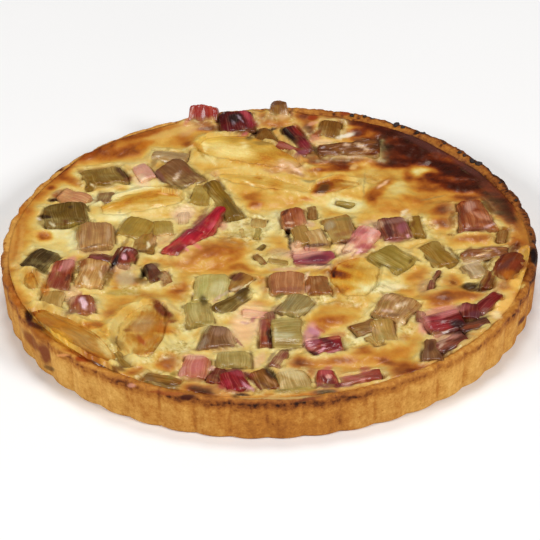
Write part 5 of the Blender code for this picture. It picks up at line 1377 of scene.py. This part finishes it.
def baked_custard():
    """Egg custard, poured and baked: a smooth skin, cream where it is pale and glossy brown where burnt."""
    look, tree = new_look("baked_custard")
    place = object_place(tree)
    cloud = grain(tree, place, 0.009, 3.0)
    fine = grain(tree, place, 0.0016, 3.0, 0.6)
    brown = attribute(tree, "brown")
    cloudy = work_out(tree, "MULTIPLY_ADD", cloud, 0.22, -0.05)
    speckled = work_out(tree, "MULTIPLY_ADD", fine, 0.10, cloudy)
    colour = ramp_colour(tree, work_out(tree, "ADD", brown, speckled), CUSTARD_STOPS)
    # Laid over where marked: juice stains, painted shade beside the stalks and in the gaps, painted
    # highlights and a painted sheen
    painted = mix(tree, attribute(tree, "marked"), colour, attribute(tree, "juice_and_painted_light", "Color"))
    curd = attribute(tree, "curd")
    grains = grain(tree, place, 0.0026, 4.0, 0.6)
    curds = ramp_colour(tree, grains, [
        (0.36, "#80692E"), (0.45, "#BFA862"), (0.53, "#DDCE8E"), (0.64, "#EEE4B6")])
    painted = mix(tree, work_out(tree, "MULTIPLY", curd, 0.85), painted, curds)
    dull = spread(tree, brown, 0.44, 0.24)
    grainy = work_out(tree, "MULTIPLY", grains, curd)
    height = work_out(tree, "MULTIPLY_ADD", grainy, 3.0, fine)
    surface(
        tree, painted, dull, Normal=bumps(tree, height, 0.35, 0.0005),
        Specular_IOR_Level=0.18, Specular_Tint=(1.0, 0.78, 0.6, 1),
        Subsurface_Weight=0.12, Subsurface_Radius=(1.0, 0.55, 0.25), Subsurface_Scale=0.0015,
        Coat_Weight=0.10, Coat_Roughness=0.12, Coat_Tint=(1.0, 0.85, 0.7, 1))
    return look


def fruit_look(name, across, along, contrast, wet):
    """Fruit baked soft in custard: its own colour with painted highlights and shade, streaked along its
    fibres, with a film of its juices.
    """
    look, tree = new_look(name)
    fibre = attribute(tree, "fibre", "Vector")
    drawn = add(tree, "ShaderNodeMapping", {"Vector": fibre, "Scale": (1 / along, 1 / across, 1.0)})
    streaks = grain(tree, drawn.outputs["Vector"], 1.0, 3.0, 0.6)
    fine = grain(tree, object_place(tree), 0.0012, 3.0)
    unmarked = spread(tree, attribute(tree, "marked"), 1.0, 0.25)
    share = work_out(tree, "MULTIPLY", spread(tree, streaks, 0.0, contrast, 0.40, 0.64), unmarked)
    darker = mix(tree, share, attribute(tree, "tone", "Color"), attribute(tree, "streak", "Color"))
    lighter = mix(tree, 1.0, darker, (0.16, 0.14, 0.09, 1), "ADD")
    striped = mix(tree, spread(tree, streaks, 0.0, 0.8 * contrast, 0.46, 0.30), darker, lighter)
    level = work_out(tree, "MULTIPLY_ADD", fine, 0.3, attribute(tree, "brown"))
    level = work_out(tree, "SUBTRACT", level, 0.15)
    toasted = ramp_colour(tree, level, [
        (0.0, "#FFFFFF"), (0.25, "#F4D8A0"), (0.45, "#D09050"),
        (0.65, "#8A4820"), (0.85, "#4A200E"), (1.0, "#200C06")])
    baked = mix(tree, 1.0, striped, toasted, "MULTIPLY")
    height = work_out(tree, "MULTIPLY_ADD", fine, 0.5, streaks)
    surface(
        tree, baked, spread(tree, fine, 0.22, 0.46), Normal=bumps(tree, height, 0.5, 0.0005),
        Specular_IOR_Level=0.15, Subsurface_Weight=0.10, Subsurface_Radius=(1.0, 0.4, 0.2),
        Subsurface_Scale=0.0012, Coat_Weight=wet, Coat_Roughness=0.15)
    return look


def studio_floor():
    """Seamless white paper: matt, with the faintest mottle."""
    look, tree = new_look("white_paper")
    cloud = grain(tree, object_place(tree), 0.25, 2.0)
    surface(tree, ramp_colour(tree, cloud, [(0.3, "#F7F6F5"), (0.7, "#FAF9F8")]), 0.9, Specular_IOR_Level=0.1)
    return look


# Studio

CAMERA_DISTANCE = 1680.0
CAMERA_ELEVATION = 33.63
CAMERA_TILT = -1.285
LENS_PIXELS = 3198.0
PICTURE_PIXELS = 540
SENSOR_WIDTH = 36.0
MIDDLE_SEEN_AT = (269.8, 283.2)
NEAREST_SEEN = 0.05
FARTHEST_SEEN = 20.0
FLOOR_SIZE = 4000.0
ROOM_LIGHT = 0.12


def direction(azimuth, elevation):
    """A unit vector towards a place round the tart. Azimuth 0 is the front and 90 the right."""
    a, e = math.radians(azimuth), math.radians(elevation)
    return Vector((math.sin(a) * math.cos(e), -math.cos(a) * math.cos(e), math.sin(e)))


def facing(back):
    """The turn of a camera or light that looks along its way back to the middle."""
    return back.to_track_quat("Z", "Y").to_matrix().to_4x4()


def make_camera():
    """The photograph's view: the lens is given in pixels, and a shift brings the middle to its place."""
    data = bpy.data.cameras.new("camera")
    data.sensor_width = SENSOR_WIDTH
    data.lens = LENS_PIXELS / PICTURE_PIXELS * SENSOR_WIDTH
    data.shift_x = (PICTURE_PIXELS / 2 - MIDDLE_SEEN_AT[0]) / PICTURE_PIXELS
    data.shift_y = (MIDDLE_SEEN_AT[1] - PICTURE_PIXELS / 2) / PICTURE_PIXELS
    data.clip_start = NEAREST_SEEN
    data.clip_end = FARTHEST_SEEN
    camera = bpy.data.objects.new("camera", data)
    bpy.context.scene.collection.objects.link(camera)
    back = direction(0, CAMERA_ELEVATION)
    tilt = Matrix.Rotation(math.radians(CAMERA_TILT), 4, "Z")
    camera.matrix_world = Matrix.Translation(back * CAMERA_DISTANCE * MM) @ facing(back) @ tilt
    bpy.context.scene.camera = camera


def softbox(name, azimuth, elevation, distance, width, height, power, glint=1.0):
    """A rectangular light: distance and size in metres, power in watts, glint its share in reflections."""
    data = bpy.data.lights.new(name, "AREA")
    data.specular_factor = glint
    data.shape = "RECTANGLE"
    data.size = width
    data.size_y = height
    data.energy = power
    light = bpy.data.objects.new(name, data)
    bpy.context.scene.collection.objects.link(light)
    back = direction(azimuth, elevation)
    light.matrix_world = Matrix.Translation(back * distance) @ facing(back)


def make_studio():
    """A floor without an edge, a soft light from each side in front, and a weak one from behind and above."""
    bm = bmesh.new()
    bmesh.ops.create_grid(bm, x_segments=8, y_segments=8, size=FLOOR_SIZE)
    mesh = mesh_from(bm, "floor")
    put(mesh, positions(mesh) * MM)
    mesh.materials.append(studio_floor())
    floor = bpy.data.objects.new("floor", mesh)
    bpy.context.scene.collection.objects.link(floor)
    softbox("key_left", -56, 34, 2.6, 0.7, 0.7, 34)
    softbox("key_right", 52, 34, 2.6, 0.7, 0.7, 40)
    softbox("top", 176, 76, 2.0, 0.6, 0.6, 14, 0.4)
    world = bpy.data.worlds.new("studio")
    world.use_nodes = True
    light = world.node_tree.nodes["Background"].inputs
    light["Color"].default_value = linear("#FFFFFF")
    light["Strength"].default_value = ROOM_LIGHT
    bpy.context.scene.world = world
    bpy.context.scene.view_settings.view_transform = "Standard"


def main():
    rhubarb = fruit_look("baked_rhubarb", 0.0009, 0.026, 0.7, 0.4)
    apple = fruit_look("baked_apple", 0.003, 0.02, 0.4, 0.3)
    blanks = {"stalk": block(STALK_CUTS), "slice": block(SLICE_CUTS)}
    slots = {row["node"]: row["material_slot"] for row in frame["record"]["subparts"]}
    counts = {}
    for seed, piece in enumerate(PIECES):
        counts[piece.node] = counts.get(piece.node, 0) + 1
        look = apple if piece.form == "slice" else rhubarb
        name = f"{piece.node}_{'abcd'[counts[piece.node] - 1]}"
        make_fruit(piece, name, blanks[piece.form], look, slots[piece.node], seed + 1.0, True)
    small = block(BIT_CUTS)
    for number, piece in enumerate(BITS):
        make_fruit(piece, f"bit_{number + 1:02d}", small, rhubarb, "rhubarb_brown", 101.0 + number, False)
    bpy.data.meshes.remove(small)
    make_custard(baked_custard())
    make_crust(baked_shortcrust())
    make_crumbs(burnt_crumb())
    for blank in blanks.values():
        bpy.data.meshes.remove(blank)
    make_studio()
    make_camera()


main()
